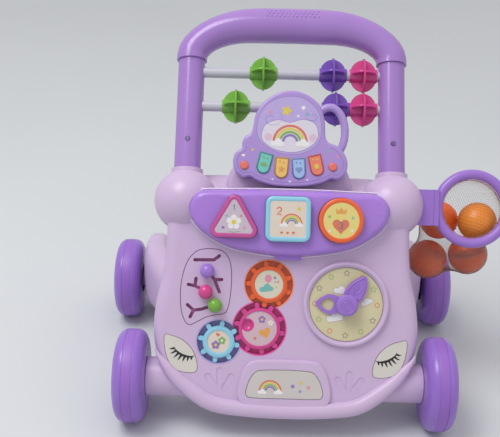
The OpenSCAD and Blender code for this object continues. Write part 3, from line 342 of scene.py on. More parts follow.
def smooth_loop(points, steps=3):
    """A closed curve through a few points."""
    found = []
    count = len(points)
    for i in range(count):
        a, b, c, d = (Vector(points[(i + j - 1) % count]) for j in range(4))
        for j in range(steps):
            t = j / steps
            found.append(tuple(0.5 * (2 * b + (c - a) * t + (2 * a - 5 * b + 4 * c - d) * t * t
                                      + (3 * b - a - 3 * c + d) * t ** 3)))
    return found


def drawn_in(outline, distance):
    """The closed outline moved inwards, which is to the left as it runs."""
    count = len(outline)
    found = []
    for i, spot in enumerate(outline):
        run = (Vector(outline[(i + 1) % count]) - Vector(outline[i - 1])).normalized()
        found.append((spot[0] - run.y * distance, spot[1] + run.x * distance))
    return found


def placed(outline, x, y, turn=0.0, size=1.0):
    """An outline turned by some degrees, scaled and moved to (x, y)."""
    c, s = size * math.cos(math.radians(turn)), size * math.sin(math.radians(turn))
    return [(x + c * p - s * q, y + s * p + c * q) for p, q in outline]


def lay_lash(shape, root, bend, tip):
    """One printed lash: thick at its root, slimmer at its bend and pointed at its tip."""
    run = (Vector(tip) - Vector(root)).normalized()
    outline = [(x - aside * run.y, y + aside * run.x) for (x, y), aside in (
        (root, 1.5), (root, -1.5), (bend, -1.05), (tip, 0), (bend, 0.75))]
    lay_flat(shape, outline, inlay_level, inlay_level + 0.16)


def set_on_face(name, shape, finishes, body):
    """Make a piece of a shape that is drawn on the sloping face."""
    shape.transform(on_face)
    bmesh.ops.recalc_face_normals(shape, faces=shape.faces)
    set_piece(name, shape, finishes, body)


def print_ink(name, colour, pale):
    """Screen-printed ink: matt, dense, with the faint mottle of a squeegee pass."""
    return moulded_abs(name, colour, pale, roughness=0.5, mottle=6, peel=0.8)


cream = moulded_abs("cream_moulded_abs", "D3CFC6", "DAD6CE", roughness=0.4, mottle=30)
moulding("eye_inlays", [cream])
black_ink = print_ink("black_screen_print", "151417", "201F22")
inlay_level = 0.6
lash_line = [(-134.5, 66.5), (-132, 62.6), (-128.5, 59.4), (-124, 57), (-119, 55.6), (-114, 55.2),
             (-109, 56.6)]
lashes = [((-133.5, 65.5), (-140.2, 64.6)), ((-131.5, 62.4), (-139, 58.6)),
          ((-128.5, 59.6), (-135, 53.4)), ((-124.8, 57.6), (-130, 50.2)),
          ((-120.6, 56.2), (-124, 48.8)), ((-116.4, 55.6), (-118, 49.4)),
          ((-112.6, 55.8), (-112.8, 51.2))]
shape = bmesh.new()
for mirror in (1, -1):
    lay_bead(shape, [(mirror * x, y) for x, y in lash_line], 3.4, 0.15, inlay_level + 0.02,
             taper=0.85, sides=6)
    for (x, y), (tip_x, tip_y) in lashes:
        bend = ((x + tip_x) / 2 - 0.3, (y + tip_y) / 2 - 0.9)
        lay_lash(shape, *((mirror * p, q) for p, q in ((x, y), bend, (tip_x, tip_y))))
set_on_face("lash_print", shape, [black_ink], "walker")

# ---- Nameplate ----
# A cream plate clipped into the raised foot of the face, with a fine border and a printed
# rainbow, cloud and stars. It carries no name.
plate_cream = moulded_abs("pearl_moulded_abs", "C8C2BF", "D0CAC7", roughness=0.4, mottle=30)
moulding("nameplate", [plate_cream])
plate_level = 5.3
plate_outline = smooth_loop([(-46.5, 17), (-45, 11), (-38, 8.7), (0, 8.5), (38, 8.7), (45, 11),
                             (46.5, 17), (42.5, 30), (36, 39.5), (27, 42.5), (0, 43.5), (-27, 42.5),
                             (-36, 39.5), (-42.5, 30)])


def star(spikes=5, inner=0.5):
    """A star's outline with tips at 1."""
    turns = [math.radians(90 + 180 * i / spikes) for i in range(2 * spikes)]
    return [((inner if i % 2 else 1) * math.cos(t), (inner if i % 2 else 1) * math.sin(t))
            for i, t in enumerate(turns)]


def cloud():
    """A cloud's outline, two units wide: three humps on a flat foot."""
    return (arc(0.68, -0.12, 0.32, -90, 60, 6) + arc(0.1, 0.16, 0.5, 15, 165, 10)
            + arc(-0.62, -0.06, 0.38, 120, 270, 6))


def heart():
    """A heart's outline, two units wide."""
    turns = [2 * math.pi * i / 28 for i in range(28)]
    return [(math.sin(t) ** 3, (13 * math.cos(t) - 5 * math.cos(2 * t) - 2 * math.cos(3 * t)
                                - math.cos(4 * t)) / 16) for t in turns]


ink_tones = {
    "white": ("E6E3E6", "EEECEE"),
    "pink": ("D98CA8", "E09AB3"),
    "coral": ("D2705A", "DB7D66"),
    "orange": ("DE9A4A", "E6A659"),
    "yellow": ("D9C24F", "E1CC60"),
    "green": ("7DAA5A", "8AB568"),
    "teal": ("6FB3AE", "7DBDB8"),
    "blue": ("7C8FC4", "8A9CCC"),
    "violet": ("8A6FB5", "967CC0"),
    "grey": ("6E6A72", "7A767E"),
}
inks = [print_ink(f"{name}_screen_print", *tones) for name, tones in ink_tones.items()]
number = list(ink_tones).index


def stamp(shape, outline, level, ink_name, thickness=0.12):
    """Print a filled outline on a surface at the given level."""
    lay_flat(shape, outline, level, level + thickness, number(ink_name))


def stroke(shape, path, width, level, ink_name, closed=True, thickness=0.1, taper=0.0):
    """Print a line on a surface at the given level."""
    lay_bead(shape, path, width, thickness, level, closed, 6, number(ink_name), taper)


def rainbow(shape, x, y, size, level):
    """Four bands of ink in half rings, with a cloud at each foot."""
    for i, name in enumerate(("coral", "yellow", "green", "violet")):
        band = arc(x, y, size * (1 - 0.19 * i), 0, 180, 14)
        stroke(shape, band, size * 0.17, level, name, closed=False)
    for side in (-1, 1):
        puff = placed(cloud(), x + side * 0.75 * size, y - 0.05 * size, 0, 0.42 * size)
        stamp(shape, puff, level, "white", 0.16)


shape = bmesh.new()
stroke(shape, drawn_in(plate_outline, 0.35), 0.7, plate_level, "grey")
rainbow(shape, -17, 17, 13, plate_level)
for x, y, size, name in ((10, 24, 3.2, "violet"), (20, 28, 2.4, "yellow"), (29, 23, 3.0, "pink"),
                         (19, 18, 2.4, "blue")):
    stamp(shape, placed(star(), x, y, 10 * x, size), plate_level, name)
set_on_face("nameplate_print", shape, inks, "walker")

# ---- Clock ----
# A straw-yellow dial with twelve printed marks, stars and rings by turns, and small clouds. Both
# hands are purple ABS: an open leaf for the hour and a knobbed leaf with moulded veins on top.
straw = moulded_abs("straw_moulded_abs", "D0C89E", "D7CFAA", roughness=0.42, mottle=40)
moulding("dial_face", [straw])
to_face = on_face.inverted()
# Where each hinge's pin meets the face
pins = {joint["child"]: (to_face @ Vector(joint["pos_m"]))[:2]
        for joint in frame["joints"] if "pos_m" in joint}
clock = pins["minute_hand"]
dial_level = 2.4
mark_circle = 37.5
shape = bmesh.new()
for hour, colour in enumerate(("coral", "green", "coral", "grey", "green", "grey") * 2, 1):
    turn = math.radians(90 - 30 * hour)
    x, y = clock[0] + mark_circle * math.cos(turn), clock[1] + mark_circle * math.sin(turn)
    if hour % 2:
        outline, size = arc(0, 0, 0.78, 0, 360 - 22.5, 15), 3.4
    else:
        outline, size = star(5, 0.52), 3.9
    stroke(shape, placed(outline, x, y, 0, size), 1.0, dial_level, colour)
for x, y, size, turn in ((-13, -16, 10.5, 10), (24.5, 3.5, 7.5, 25), (-7, 16.5, 8.5, -5)):
    puff = placed(cloud(), clock[0] + x, clock[1] + y, turn, size)
    stamp(shape, puff, dial_level, "white", 0.1)
    stroke(shape, puff, 0.5, dial_level, "grey", thickness=0.12)
stroke(shape, arc(*clock, 44.4, 0, 355, 71), 0.6, dial_level, "grey")
set_on_face("dial_print", shape, inks, "walker")

moulding("hour_hand", [purple], soften=0.7)
moulding("minute_hand", [purple], soften=0.7)
leaf_turn = 56.5
hand_level = 8.9
knob_level = 18.9
leaf = smooth_loop([(13, -7), (18.5, -8.8), (29, -6.6), (38, 0), (29, 6.6), (18.5, 8.8), (13, 7)], 4)
shape = bmesh.new()
lay_bead(shape, placed(leaf, *clock, leaf_turn), 2.0, 1.1, hand_level, closed=True)
for vein in ([(12, 0), (19, 0.7), (27, 0.6), (35, 0)], [(16, 0.6), (20, 3.6), (25, 5)],
             [(23, 0.7), (27, 3.2), (31, 3.6)], [(16, 0.2), (21, -3.6), (27, -4.6)]):
    lay_bead(shape, placed(vein, *clock, leaf_turn), 1.5, 0.9, hand_level, taper=0.5)
spiral = [(math.radians(24 * i), 1.2 + 0.18 * i) for i in range(46)]
lay_bead(shape, [(clock[0] + r * math.cos(t), clock[1] + r * math.sin(t)) for t, r in spiral],
         1.3, 0.9, knob_level, sides=6, taper=0.3)
set_on_face("minute_hand_relief", shape, [purple], "minute_hand")

# ---- Peg gears ----
# Three meshing ABS gears turn on pins in a deep tray. Each well of the tray is painted a bright
# tint of its gear's colour, painted light for the colour the gear throws into it. Each gear carries
# a printed paper-film label under a raised rim.
well_radii = {"gear_top": 29.9, "gear_middle": 32.8, "gear_bottom": 27.0}
# Painted light: each well is a bright tint of its gear's colour, for the light the gear throws into it
well_glow_finishes = [moulded_abs("orange_painted_well_glow_abs", "FF9468", "FF9E74", roughness=0.25),
         moulded_abs("magenta_painted_well_glow_abs", "EE5AB2", "F064B8", roughness=0.25),
         moulded_abs("violet_painted_well_glow_abs", "AEA4DA", "B6ACE0", roughness=0.25)]


def nearest_well(face):
    """Which gear's well a face of the tray belongs to."""
    spot = (to_face @ face.calc_center_median())[:2]
    gaps = [math.dist(spot, pins[gear]) - radius for gear, radius in well_radii.items()]
    return gaps.index(min(gaps))


moulding("gear_tray", well_glow_finishes, choose=nearest_well)
orange = moulded_abs("orange_moulded_abs", "E8602F", "EC6C3C", roughness=0.24)
magenta = moulded_abs("magenta_moulded_abs", "D2408F", "D84E99", roughness=0.24)
sky_blue = moulded_abs("sky_blue_moulded_abs", "8CCBE4", "98D2E8", roughness=0.24)
sand_film = print_ink("sand_label_film", "DCCDBE", "E2D4C7")
gear_films = [print_ink("cream_label_film", "D6D0BC", "DCD7C6"),
              print_ink("rose_label_film", "CDB0BC", "D3B8C3"), sand_film]
label_level = -0.6
film_thickness = 0.15
dimple = (-14.5, 4)
dimple_radius = 8.2


def round_film(x, y, radius):
    """The outline of a round printed film."""
    return arc(x, y, radius, 0, 350, 35)


def bitten_film(x, y, radius):
    """The outline of a round film that stops short of the finger dimple."""
    dimple_x, dimple_y = x + dimple[0], y + dimple[1]
    edge = [spot for spot in arc(x, y, radius, 0, 357, 119)
            if math.dist(spot, (dimple_x, dimple_y)) > dimple_radius]
    start = max(range(len(edge)), key=lambda i: math.dist(edge[i], edge[i - 1]))
    bite = [spot for spot in round_film(dimple_x, dimple_y, dimple_radius)
            if math.dist(spot, (x, y)) < radius]
    turn = max(range(len(bite)), key=lambda i: math.dist(bite[i], bite[i - 1]))
    return edge[start:] + edge[:start] + list(reversed(bite[turn:] + bite[:turn]))


def flower(shape, x, y, size, petal, heart_ink, level):
    """Five round petals about a dot."""
    for i in range(5):
        petal_spot = arc(x, y, size * 0.62, 90 + 72 * i, 91 + 72 * i, 1)[0]
        stamp(shape, arc(*petal_spot, size * 0.42, 0, 330, 11), level, petal)
    stamp(shape, arc(x, y, size * 0.34, 0, 330, 11), level, heart_ink, 0.2)


def balloon_print(shape, x, y, level):
    """A balloon on its string over a cloud, and four stars."""
    stamp(shape, placed(cloud(), x - 3, y - 5, 8, 8.5), level, "teal")
    stamp(shape, arc(x - 1, y + 7, 4.2, 0, 345, 23, 1.15), level, "pink", 0.14)
    stroke(shape, [(x - 1, y + 2), (x, y - 1), (x - 1, y - 4)], 0.5, level, "grey", closed=False,
           thickness=0.12)
    for p, q, size, name in ((7, 8, 2.2, "violet"), (11, 3, 1.7, "coral"), (9, -3, 1.7, "yellow"),
                             (7.5, 3, 1.4, "blue")):
        stamp(shape, placed(star(), x + p, y + q, 15 * p, size), level, name)


def heart_print(shape, x, y, level):
    """A heart, two flowers and a star beside the dimple."""
    stamp(shape, placed(heart(), x + 7, y - 5, 20, 7), level, "orange", 0.15)
    flower(shape, x + 3, y + 11, 4.5, "violet", "yellow", level)
    flower(shape, x + 13.5, y + 7, 3.2, "white", "yellow", level)
    stamp(shape, placed(star(), x - 5, y - 12, 0, 2.6), level, "coral")


def flower_print(shape, x, y, level):
    """Two flowers and a heart."""
    flower(shape, x - 3.4, y - 4, 5.2, "violet", "yellow", level)
    flower(shape, x + 4, y + 1.5, 4.6, "green", "white", level)
    stamp(shape, placed(heart(), x - 1, y + 8.5, -20, 2.6), level, "coral")


for film, (name, finish, slot, rim, lip, film_outline, decorate) in enumerate((
    ("gear_top", orange, "gear_orange", 17.5, 3.6, round_film, balloon_print),
    ("gear_middle", magenta, "magenta", 21.4, 2.4, bitten_film, heart_print),
    ("gear_bottom", sky_blue, "light_blue", 13.9, 4.6, round_film, flower_print),
)):
    moulding(name, [finish], soften=0.9)
    x, y = pins[name]
    shape = bmesh.new()
    lay_bead(shape, arc(x, y, rim + lip / 2 - 0.3, 0, 355, 71), lip, 1.0, -0.2, closed=True)
    set_on_face(f"{name}_rim", shape, [finish], name)
    shape = bmesh.new()
    lay_flat(shape, film_outline(x, y, rim - 0.3), label_level, label_level + film_thickness,
             len(inks) + film)
    decorate(shape, x, y, label_level + film_thickness)
    set_on_face(f"{name}_label", shape, inks + gear_films, name)

# ---- Slider maze ----
# A lilac plate let into the face, with three branched slots over a backing, and three glossy
# balls that slide along them on necked feet. The slots' walls and the backing are painted a darker
# mauve, a painted shade for the slots' depth. Dark lines follow the gaps round the plate and eyes.
# Painted shade: a darker mauve on the slots' walls and on the backing below them, for the shade down
# in the slots
slot_shade = moulded_abs("mauve_painted_slot_shade_abs", "D184C4", "D88ECB", roughness=0.5)


def slot_shade_or_skin(face):
    """Walls of the slots take the painted slot shade; the skin is what faces out."""
    spot = to_face @ face.calc_center_median()
    out = (to_face.to_3x3() @ face.normal).normalized().z
    return 1 if abs(out) < 0.5 and spot.z < -0.1 else 0


moulding("maze_plate", [lilac, slot_shade], choose=slot_shade_or_skin)
maze_edge = smooth_loop([(-106, 185), (-85, 186), (-74, 180), (-68.5, 168), (-67, 150), (-68.5, 126),
                         (-73, 110), (-84, 107), (-96, 104), (-107, 98), (-116, 94), (-122, 98),
                         (-127, 112), (-128.5, 134), (-126, 155), (-119, 174)])
seam_shadow = moulded_abs("shadowed_lilac_abs", "6E3F70", "774878", roughness=0.6)
eye_edge = smooth_loop([(146.5, 80.5), (137.5, 80.5), (124.5, 75.5), (113, 65), (106.8, 51.5),
                        (106, 39.5), (112.5, 36), (127, 37.5), (138, 45), (144.8, 60.5)])
slot_floor = -7.2
shape = bmesh.new()
lay_flat(shape, drawn_in(list(reversed(maze_edge)), 4), slot_floor - 1, slot_floor)
set_on_face("slot_backing", shape, [slot_shade], "walker")
shape = bmesh.new()
lay_bead(shape, maze_edge, 1.15, 0.12, 0, closed=True, sides=6)
for mirror in (1, -1):
    lay_bead(shape, [(mirror * x, y) for x, y in eye_edge], 0.6, 0.12, 0, closed=True, sides=6)
set_on_face("inlay_seams", shape, [seam_shadow], "walker")
# The beads' bright finishes; two of the maze balls have tints of their own
bright = {
    "purple": moulded_abs("violet_glossy_abs", "744CB2", "7E56BA", roughness=0.16),
    "pink": moulded_abs("pink_glossy_abs", "D03E88", "D64A92", roughness=0.16),
    "green": moulded_abs("green_glossy_abs", "70AE38", "7AB644", roughness=0.16),
}
glossy_lilac = moulded_abs("orchid_glossy_abs", "9C74D0", "A67ED8", roughness=0.16)
glossy_green = moulded_abs("leaf_green_glossy_abs", "6EA836", "78B042", roughness=0.16)
for colour, finish, slot in (("purple", glossy_lilac, "bead_purple"),
                             ("pink", bright["pink"], "magenta"),
                             ("green", glossy_green, "bead_green")):
    moulding(f"maze_ball_{colour}", [finish], crease=50)

# ---- Console ----
# A purple ABS cover stands on the face. The casing's raised frame runs round it, with a painted
# highlight along its edge: a bead in paler lilac. Two small clips show at its top edge.
console_purple = moulded_abs("bright_purple_moulded_abs", "A67AD8", "B084DE", roughness=0.27)
moulding("console_panel", [console_purple], crease=40)
frame_half = [(38, 184), (75, 192), (102, 207.5), (115.5, 222), (119.5, 237), (113.5, 250),
              (103.5, 256), (76, 256.8), (38, 258)]
frame_edge = smooth_loop([(0, 181)] + frame_half + [(-x, y) for x, y in reversed(frame_half)])
# Painted highlight: the frame's edge is paler where it catches the light
edge_highlight = moulded_abs("lilac_painted_highlight_abs", "EADCF2", "EFE3F6", roughness=0.2)
frame_level = 3.0
shape = bmesh.new()
lay_bead(shape, drawn_in(frame_edge, -2.3), 1.7, 0.9, frame_level, closed=True)
set_on_face("console_frame_edge", shape, [edge_highlight], "walker")
clip_places = (-43.5, 43.5)
clip_foot, clip_tip = 255.5, 259.6
shape = bmesh.new()
for x in clip_places:
    outline = [(x - 7, clip_foot), (x + 7, clip_foot), (x + 6, clip_tip), (x - 6, clip_tip)]
    lay_flat(shape, outline, frame_level + 0.2, 12.5)
bmesh.ops.bevel(shape, geom=shape.edges[:], offset=1.2, affect="EDGES", segments=3, profile=0.5,
                material=-1)
set_on_face("console_clips", shape, [console_purple], "walker")

# ---- Buttons ----
# Three hollow ABS buttons, each with a rounded rim and a printed film: a triangle marked 1, a
# square marked 2 and a round one marked 3. Their steep skirts are painted a much deeper tone, a
# painted shade.


def rounded(centres, radius, steps=7):
    """The outline round circles at the corners of a shape that runs anticlockwise."""
    found = []
    for i, (x, y) in enumerate(centres):
        before, after = centres[i - 1], centres[(i + 1) % len(centres)]
        start = math.degrees(math.atan2(before[0] - x, y - before[1]))
        stop = math.degrees(math.atan2(x - after[0], after[1] - y))
        found += arc(x, y, radius, start, start + (stop - start) % 360, steps)
    return found


triangle_spot, triangle_reach = (-65.5, 221), 21.6
square_spot, square_reach = (-1.6, 224.7), 17.75
round_spot, round_radius = (61, 224.7), 26.75
three = [(triangle_spot[0] + triangle_reach * math.cos(math.radians(a)),
          triangle_spot[1] + triangle_reach * math.sin(math.radians(a))) for a in (90, 210, 330)]
four = [(square_spot[0] + x * square_reach, square_spot[1] + y * square_reach)
        for x, y in ((1, 1), (-1, 1), (-1, -1), (1, -1))]
figures = {
    1: [[(-1.4, 2), (0.2, 3.2), (0.2, -3.2)]],
    2: [arc(0, 1.3, 1.9, 170, -35, 10) + [(-1.9, -3.1), (2.1, -3.1)]],
    3: [arc(0, 1.5, 1.7, 150, -90, 10), arc(0, -1.6, 1.8, 90, -150, 10)],
}


def figure(shape, value, x, y, size, level, ink_name):
    """A printed figure, about 6.4 mm high at size 1."""
    for line in figures[value]:
        stroke(shape, placed(line, x, y, 0, size), 1.3 * size, level, ink_name, closed=False,
               thickness=0.14)


button_films = [print_ink("lilac_label_film", "C3B5C6", "CABDCD"), sand_film,
                print_ink("yellow_label_film", "E0CE78", "E5D588")]
cap_level = 26.0
dusky_pink = moulded_abs("dusky_pink_moulded_abs", "BE4E96", "C65AA0", roughness=0.22)


def triangle_print(shape, level):
    """A daisy between stars over a blade of grass, and the figure 1."""
    figure(shape, 1, -65.5, 237, 0.95, level, "grey")
    flower(shape, -65.5, 219.5, 8.5, "white", "yellow", level)
    for x, y, size, name in ((-78, 213, 2.6, "violet"), (-53, 213, 2.6, "pink"),
                             (-74, 227, 1.8, "teal"), (-57, 227, 1.8, "coral")):
        stamp(shape, placed(star(), x, y, 7 * x, size), level, name)
    stroke(shape, [(-73, 209), (-65.5, 207.4), (-58, 209)], 1.1, level, "green", closed=False,
           thickness=0.12, taper=0.5)


def square_print(shape, level):
    """A rainbow, a star and three hearts, and the figure 2."""
    figure(shape, 2, -12.5, 234, 1.35, level, "coral")
    rainbow(shape, 2.5, 218.5, 12, level)
    stamp(shape, placed(star(), 11, 237, 10, 3.2), level, "yellow")
    for x in (-9, -2, 5):
        stamp(shape, placed(heart(), x, 208.6, 0, 1.9), level, "coral")


def round_print(shape, level):
    """A heart under a crown between stars, with the figure 3 on the heart."""
    stamp(shape, placed(heart(), 60.5, 218.5, 0, 10), level, "coral")
    figure(shape, 3, 60.5, 219, 1.1, level + 0.12, "grey")
    crown = [(-6, 0), (6, 0), (7, 7), (3, 3.6), (0, 8.5), (-3, 3.6), (-7, 7)]
    stamp(shape, placed(crown, 60.5, 232.5, 0, 0.95), level, "orange")
    for x, y, size, name in ((47, 229, 2.3, "green"), (74.5, 228, 2.3, "teal"),
                             (74, 213, 2.0, "white"), (47.5, 212, 2.0, "white")):
        stamp(shape, placed(star(), x, y, 5 * x, size), level, name)


def shaded_skirt_or_top(face):
    """A button's steep skirt takes the second finish, a painted shade."""
    return 1 if (to_face.to_3x3() @ face.normal).normalized().z < 0.5 else 0


for film, (name, finish, skirt_shade, slot, outline, decorate) in enumerate((
    ("triangle_button", dusky_pink, "7E1650", "magenta",
     lambda grow: rounded(three, 9.2 + grow), triangle_print),
    ("square_button", sky_blue, "2C5C8C", "light_blue",
     lambda grow: rounded(four, 9 + grow), square_print),
    ("round_button", orange, "9A3018", "button_orange",
     lambda grow: arc(*round_spot, round_radius + grow, 0, 355, 71), round_print),
)):
    # Painted shade: the skirt is a deeper tone of the button's colour for the shade on its steep sides
    painted_skirt_shade = moulded_abs(f"{name}_skirt_painted_shade_abs", skirt_shade, skirt_shade, roughness=0.3)
    moulding(name, [finish, painted_skirt_shade], soften=0.4, choose=shaded_skirt_or_top)
    shape = bmesh.new()
    lay_bead(shape, outline(-3.2), 6.2, 1.6, cap_level - 0.8, closed=True, sides=16)
    set_on_face(f"{name}_rim", shape, [finish], name)
    shape = bmesh.new()
    lay_flat(shape, outline(-5.6), cap_level, cap_level + film_thickness, len(inks) + film)
    decorate(shape, cap_level + film_thickness)
    set_on_face(f"{name}_label", shape, inks + button_films, name)

# ---- Handle ----
# A hollow purple grip is pushed over two blow-moulded tubes that stand in the shoulder collars.
# Small knobs along the top of the grip keep the hands from slipping.
handle_tilt = 35.5
on_handle = (
    on_face
    @ Matrix.Translation((0, 244.3, -26.5))
    @ Matrix.Rotation(math.radians(panel_tilt - handle_tilt), 4, "X")
)
grip_purple = moulded_abs("orchid_moulded_abs", "A179C5", "A983CB", roughness=0.2, mottle=90)
moulding("handle_grip", [grip_purple], crease=40)
for hand in ("left", "right"):
    moulding(f"handle_tube_{hand}", [grip_purple])
grip_axis, grip_reach, grip_rise = 232.1, 22.4, 20.8
knobs_in_row, knob_pitch = 13, 5.4
shape = bmesh.new()
for row, slant in enumerate((52, 64, 76)):
    lean = math.radians(slant)
    knobs = knobs_in_row - row % 2
    for i in range(knobs):
        x = (i - (knobs - 1) / 2) * knob_pitch
        spot = Vector((x, grip_axis + grip_reach * math.cos(lean), grip_rise * math.sin(lean)))
        out = Vector((0, math.cos(lean) / grip_reach, math.sin(lean) / grip_rise)).normalized()
        turn = out.to_track_quat("Z", "Y").to_matrix().to_4x4()
        bmesh.ops.create_uvsphere(
            shape, u_segments=12, v_segments=8, radius=1.5,
            matrix=Matrix.Translation(spot) @ turn @ Matrix.Diagonal((1, 1, 0.45, 1)))
shape.transform(on_handle)
set_piece("grip_knobs", shape, [grip_purple], "walker", crease=80)

# ---- Abacus ----
# Two white ABS rods cross between the tubes. Six beads, each of two crossed fins and a disc on a
# hub, slide along them.
white = moulded_abs("white_moulded_abs", "BFBFCA", "C8C8D2", roughness=0.22)
moulding("abacus_rods", [white])
for row in ("upper", "lower"):
    for colour, slot in (("green", "bead_green"), ("purple", "bead_purple"), ("pink", "magenta")):
        moulding(f"{row}_bead_{colour}", [bright[colour]], soften=0.5)

# ---- Toy piano ----
# A lift-off toy on a lilac dock: a two-part purple case with a carrying loop, four coloured keys,
# two red buttons and a printed film of a rainbow over clouds.
moulding("piano_dock", [lilac], crease=40)
toy_lilac = moulded_abs("pale_purple_moulded_abs", "AA8ED2", "B297D8", roughness=0.28)
moulding("piano_case", [toy_lilac], crease=34)
moulding("piano_loop", [toy_lilac], crease=50)
moulding("piano_back", [purple], crease=34)
toy_foot = 263.5
toy_half_width = 69.5
film_level = -2.0
print_level = film_level + 0.12
picture_level = film_level + 0.2
edge_points = [(0, 0), (0.32, 1.5), (0.58, 6), (0.72, 11), (0.83, 10), (0.96, 17), (1, 29), (0.95, 41),
               (0.82, 51), (0.66, 55), (0.6, 63), (0.59, 74), (0.56, 88), (0.45, 103), (0.24, 113),
               (0, 117), (-0.26, 113), (-0.49, 102), (-0.62, 88), (-0.66, 73), (-0.7, 64), (-0.8, 60),
               (-0.85, 52), (-0.85, 46), (-0.96, 40), (-1, 29), (-0.95, 17), (-0.82, 10), (-0.7, 11.5),
               (-0.58, 7), (-0.32, 1.5)]
toy_edge = smooth_loop([(x * toy_half_width, y + toy_foot) for x, y in edge_points])
toy_films = [print_ink("lavender_label_film", "B5A3DB", "BEADE0"),
             print_ink("pearl_label_film", "D8D2E0", "DDD8E4"),
             print_ink("blush_label_film", "D9B9D0", "DDC1D5")]
dome = smooth_loop([(-40, 60), (-41, 76), (-37, 90), (-27, 101), (-14, 107.5), (0, 109.5),
                    (13, 107.5), (24, 101), (33, 90), (36, 76), (35.5, 60), (28, 48.5), (14, 41),
                    (0, 39.5), (-14, 41), (-30, 48.5)])
pearl = smooth_loop([(-36, 62), (-31, 75), (-16, 81), (-2, 78), (14, 82), (29, 77), (33, 62), (26, 51),
                     (12, 43.5), (-4, 42), (-22, 46), (-33, 54)])
dome = [(x, y + toy_foot) for x, y in reversed(dome)]
pearl = [(x, y + toy_foot) for x, y in pearl]
shape = bmesh.new()
lay_flat(shape, dome, film_level, print_level, len(inks))
stroke(shape, dome, 0.8, film_level, "violet", thickness=0.16)
lay_flat(shape, pearl, print_level, picture_level, len(inks) + 1)
stroke(shape, pearl, 0.7, film_level + 0.14, "violet", thickness=0.12)
rainbow(shape, -1, toy_foot + 54, 20, picture_level)
for x in (-27.5, 26.5):
    lay_flat(shape, arc(x, toy_foot + 60, 4.5, 0, 345, 23), picture_level, picture_level + 0.06,
             len(inks) + 2)
for x, y, size, name in ((-6, 92, 7.5, "yellow"), (14, 96, 3.4, "white"), (-26, 90, 3.0, "pink"),
                         (20, 88, 2.6, "teal"), (8, 86, 2.2, "white")):
    stamp(shape, placed(star(), x, y + toy_foot, 3 * x, size), print_level, name, 0.14)
for x, y, size, mirror in ((-24, 82, 1, 1), (26, 86, 0.7, -1)):
    curl = [(x + mirror * (1.5 + 0.75 * i) * math.cos(0.42 * i) * size,
             y + toy_foot + (1.5 + 0.55 * i) * math.sin(0.42 * i) * size) for i in range(18)]
    stroke(shape, curl, 0.7, print_level, "violet", closed=False, thickness=0.14, taper=0.5)
# A line runs inside the case's edge and stops short of the dome on either side
rim_line = [spot for spot in drawn_in(toy_edge, 5.5) if spot[1] < toy_foot + 50]
cut = max(range(len(rim_line)), key=lambda i: math.dist(rim_line[i], rim_line[i - 1]))
stroke(shape, rim_line[cut:] + rim_line[:cut], 0.8, film_level, "violet", closed=False,
       thickness=0.16)
for x, y, size, name in ((-57, 37, 2.2, "white"), (57, 38, 2.2, "pink"), (-46, 44, 1.8, "yellow"),
                         (47, 45, 1.8, "teal"), (0, 6.5, 1.6, "white"), (-21, 9, 1.4, "white"),
                         (21, 9, 1.4, "white")):
    stamp(shape, placed(heart(), x, y + toy_foot, 0, size), film_level, name)
set_on_face("toy_print", shape, inks + toy_films, "toy_piano")

keys = (
    ((-31.5, 28), 14, "72C7BC", "7FCEC4", "key_teal", "2F8C86", cloud(), "green"),
    ((-10.5, 23), 4, "ECC068", "F0C878", "key_yellow", "BE8632", star(), "orange"),
    ((10.5, 22.5), -4, "9DBDE8", "A8C5EC", "key_blue", "6272A8", heart(), "blue"),
    ((31.5, 27), -14, "EE8068", "F08C76", "key_orange", "BC4C4A", star(8, 0.6), "yellow"),
)
key_half_width = 7.25
key_level = -0.6
key_edge = arc(0, -4.5, key_half_width, 180, 360, 16)
key_edge += [(key_half_width, 11.7), (-key_half_width, 11.7)]
for i, ((x, y), lean, colour, pale, slot, dark, motif, tint) in enumerate(keys, 1):
    key_abs = moulded_abs(f"key_{i}_moulded_abs", colour, pale, roughness=0.22)
    border = moulded_abs(f"key_{i}_border_abs", dark, dark, roughness=0.3)
    moulding(f"piano_key_{i}", [key_abs], soften=0.6)
    shape = bmesh.new()
    lay_bead(shape, placed(key_edge, x, y + toy_foot, -lean), 1.3, 0.5, key_level - 0.1, closed=True,
             ink_number=len(inks))
    centre, *dots = placed([(0, -1.5), (2.2, 6.6), (-2.6, 7.4)], x, y + toy_foot, -lean)
    stamp(shape, placed(motif, *centre, -lean, 4.2), key_level, tint, 0.18)
    for spot in dots:
        stamp(shape, arc(*spot, 1.1, 0, 330, 11), key_level, tint, 0.18)
    set_on_face(f"key_{i}_print", shape, inks + [border], f"key_{i}")
coral = moulded_abs("coral_moulded_abs", "E87060", "EC7D6E", roughness=0.2)
for hand in ("left", "right"):
    moulding(f"piano_button_{hand}", [coral], soften=0.8)

# ---- Hoop ----
# A purple ABS ring at the right shoulder, on a bracket that it lifts off. Both are satin mouldings
# with softly rounded edges.
moulding("hoop_bracket", [purple], soften=0.8)
moulding("hoop_ring", [purple], soften=0.8)

# ---- Play balls ----
# Four blow-moulded orange polyethylene balls, pimpled all over, lie loose in the net. The one on
# top is a lighter orange; the three below it take a deeper orange, a painted shade for lying under
# it and in the net.
hoop_middle = (226.5, 243.5, -26.5)
mouth = on_face @ Vector(hoop_middle)
ball_offsets = ((-42, 23, -82.7), (8.2, 23, -75), (-29.5, 41, -35.5), (13.1, 16.4, -24.8))
ball_spots = [mouth + Vector(offset) / 1000 for offset in ball_offsets]
ball_orange = moulded_abs("orange_blown_polyethylene", "DE7E24", "FAA448", roughness=0.36)
ball_in_shade = moulded_abs("orange_blown_polyethylene_painted_shade", "EC601C", "FF8A40", roughness=0.36)
# Painted shade in the hollows between the pimples and painted light on their tips: the tone runs from
# dark to pale with the pimple attribute
for tree in (ball_orange.node_tree, ball_in_shade.node_tree):
    tip = add_node(tree, "ShaderNodeAttribute", attribute_name="pimple").outputs["Fac"]
    tree.links.new(tip, tree.nodes["Mix"].inputs["Factor"])
ball_radius = 0.025
pimple_height, pimple_reach = 0.0014, 0.0012
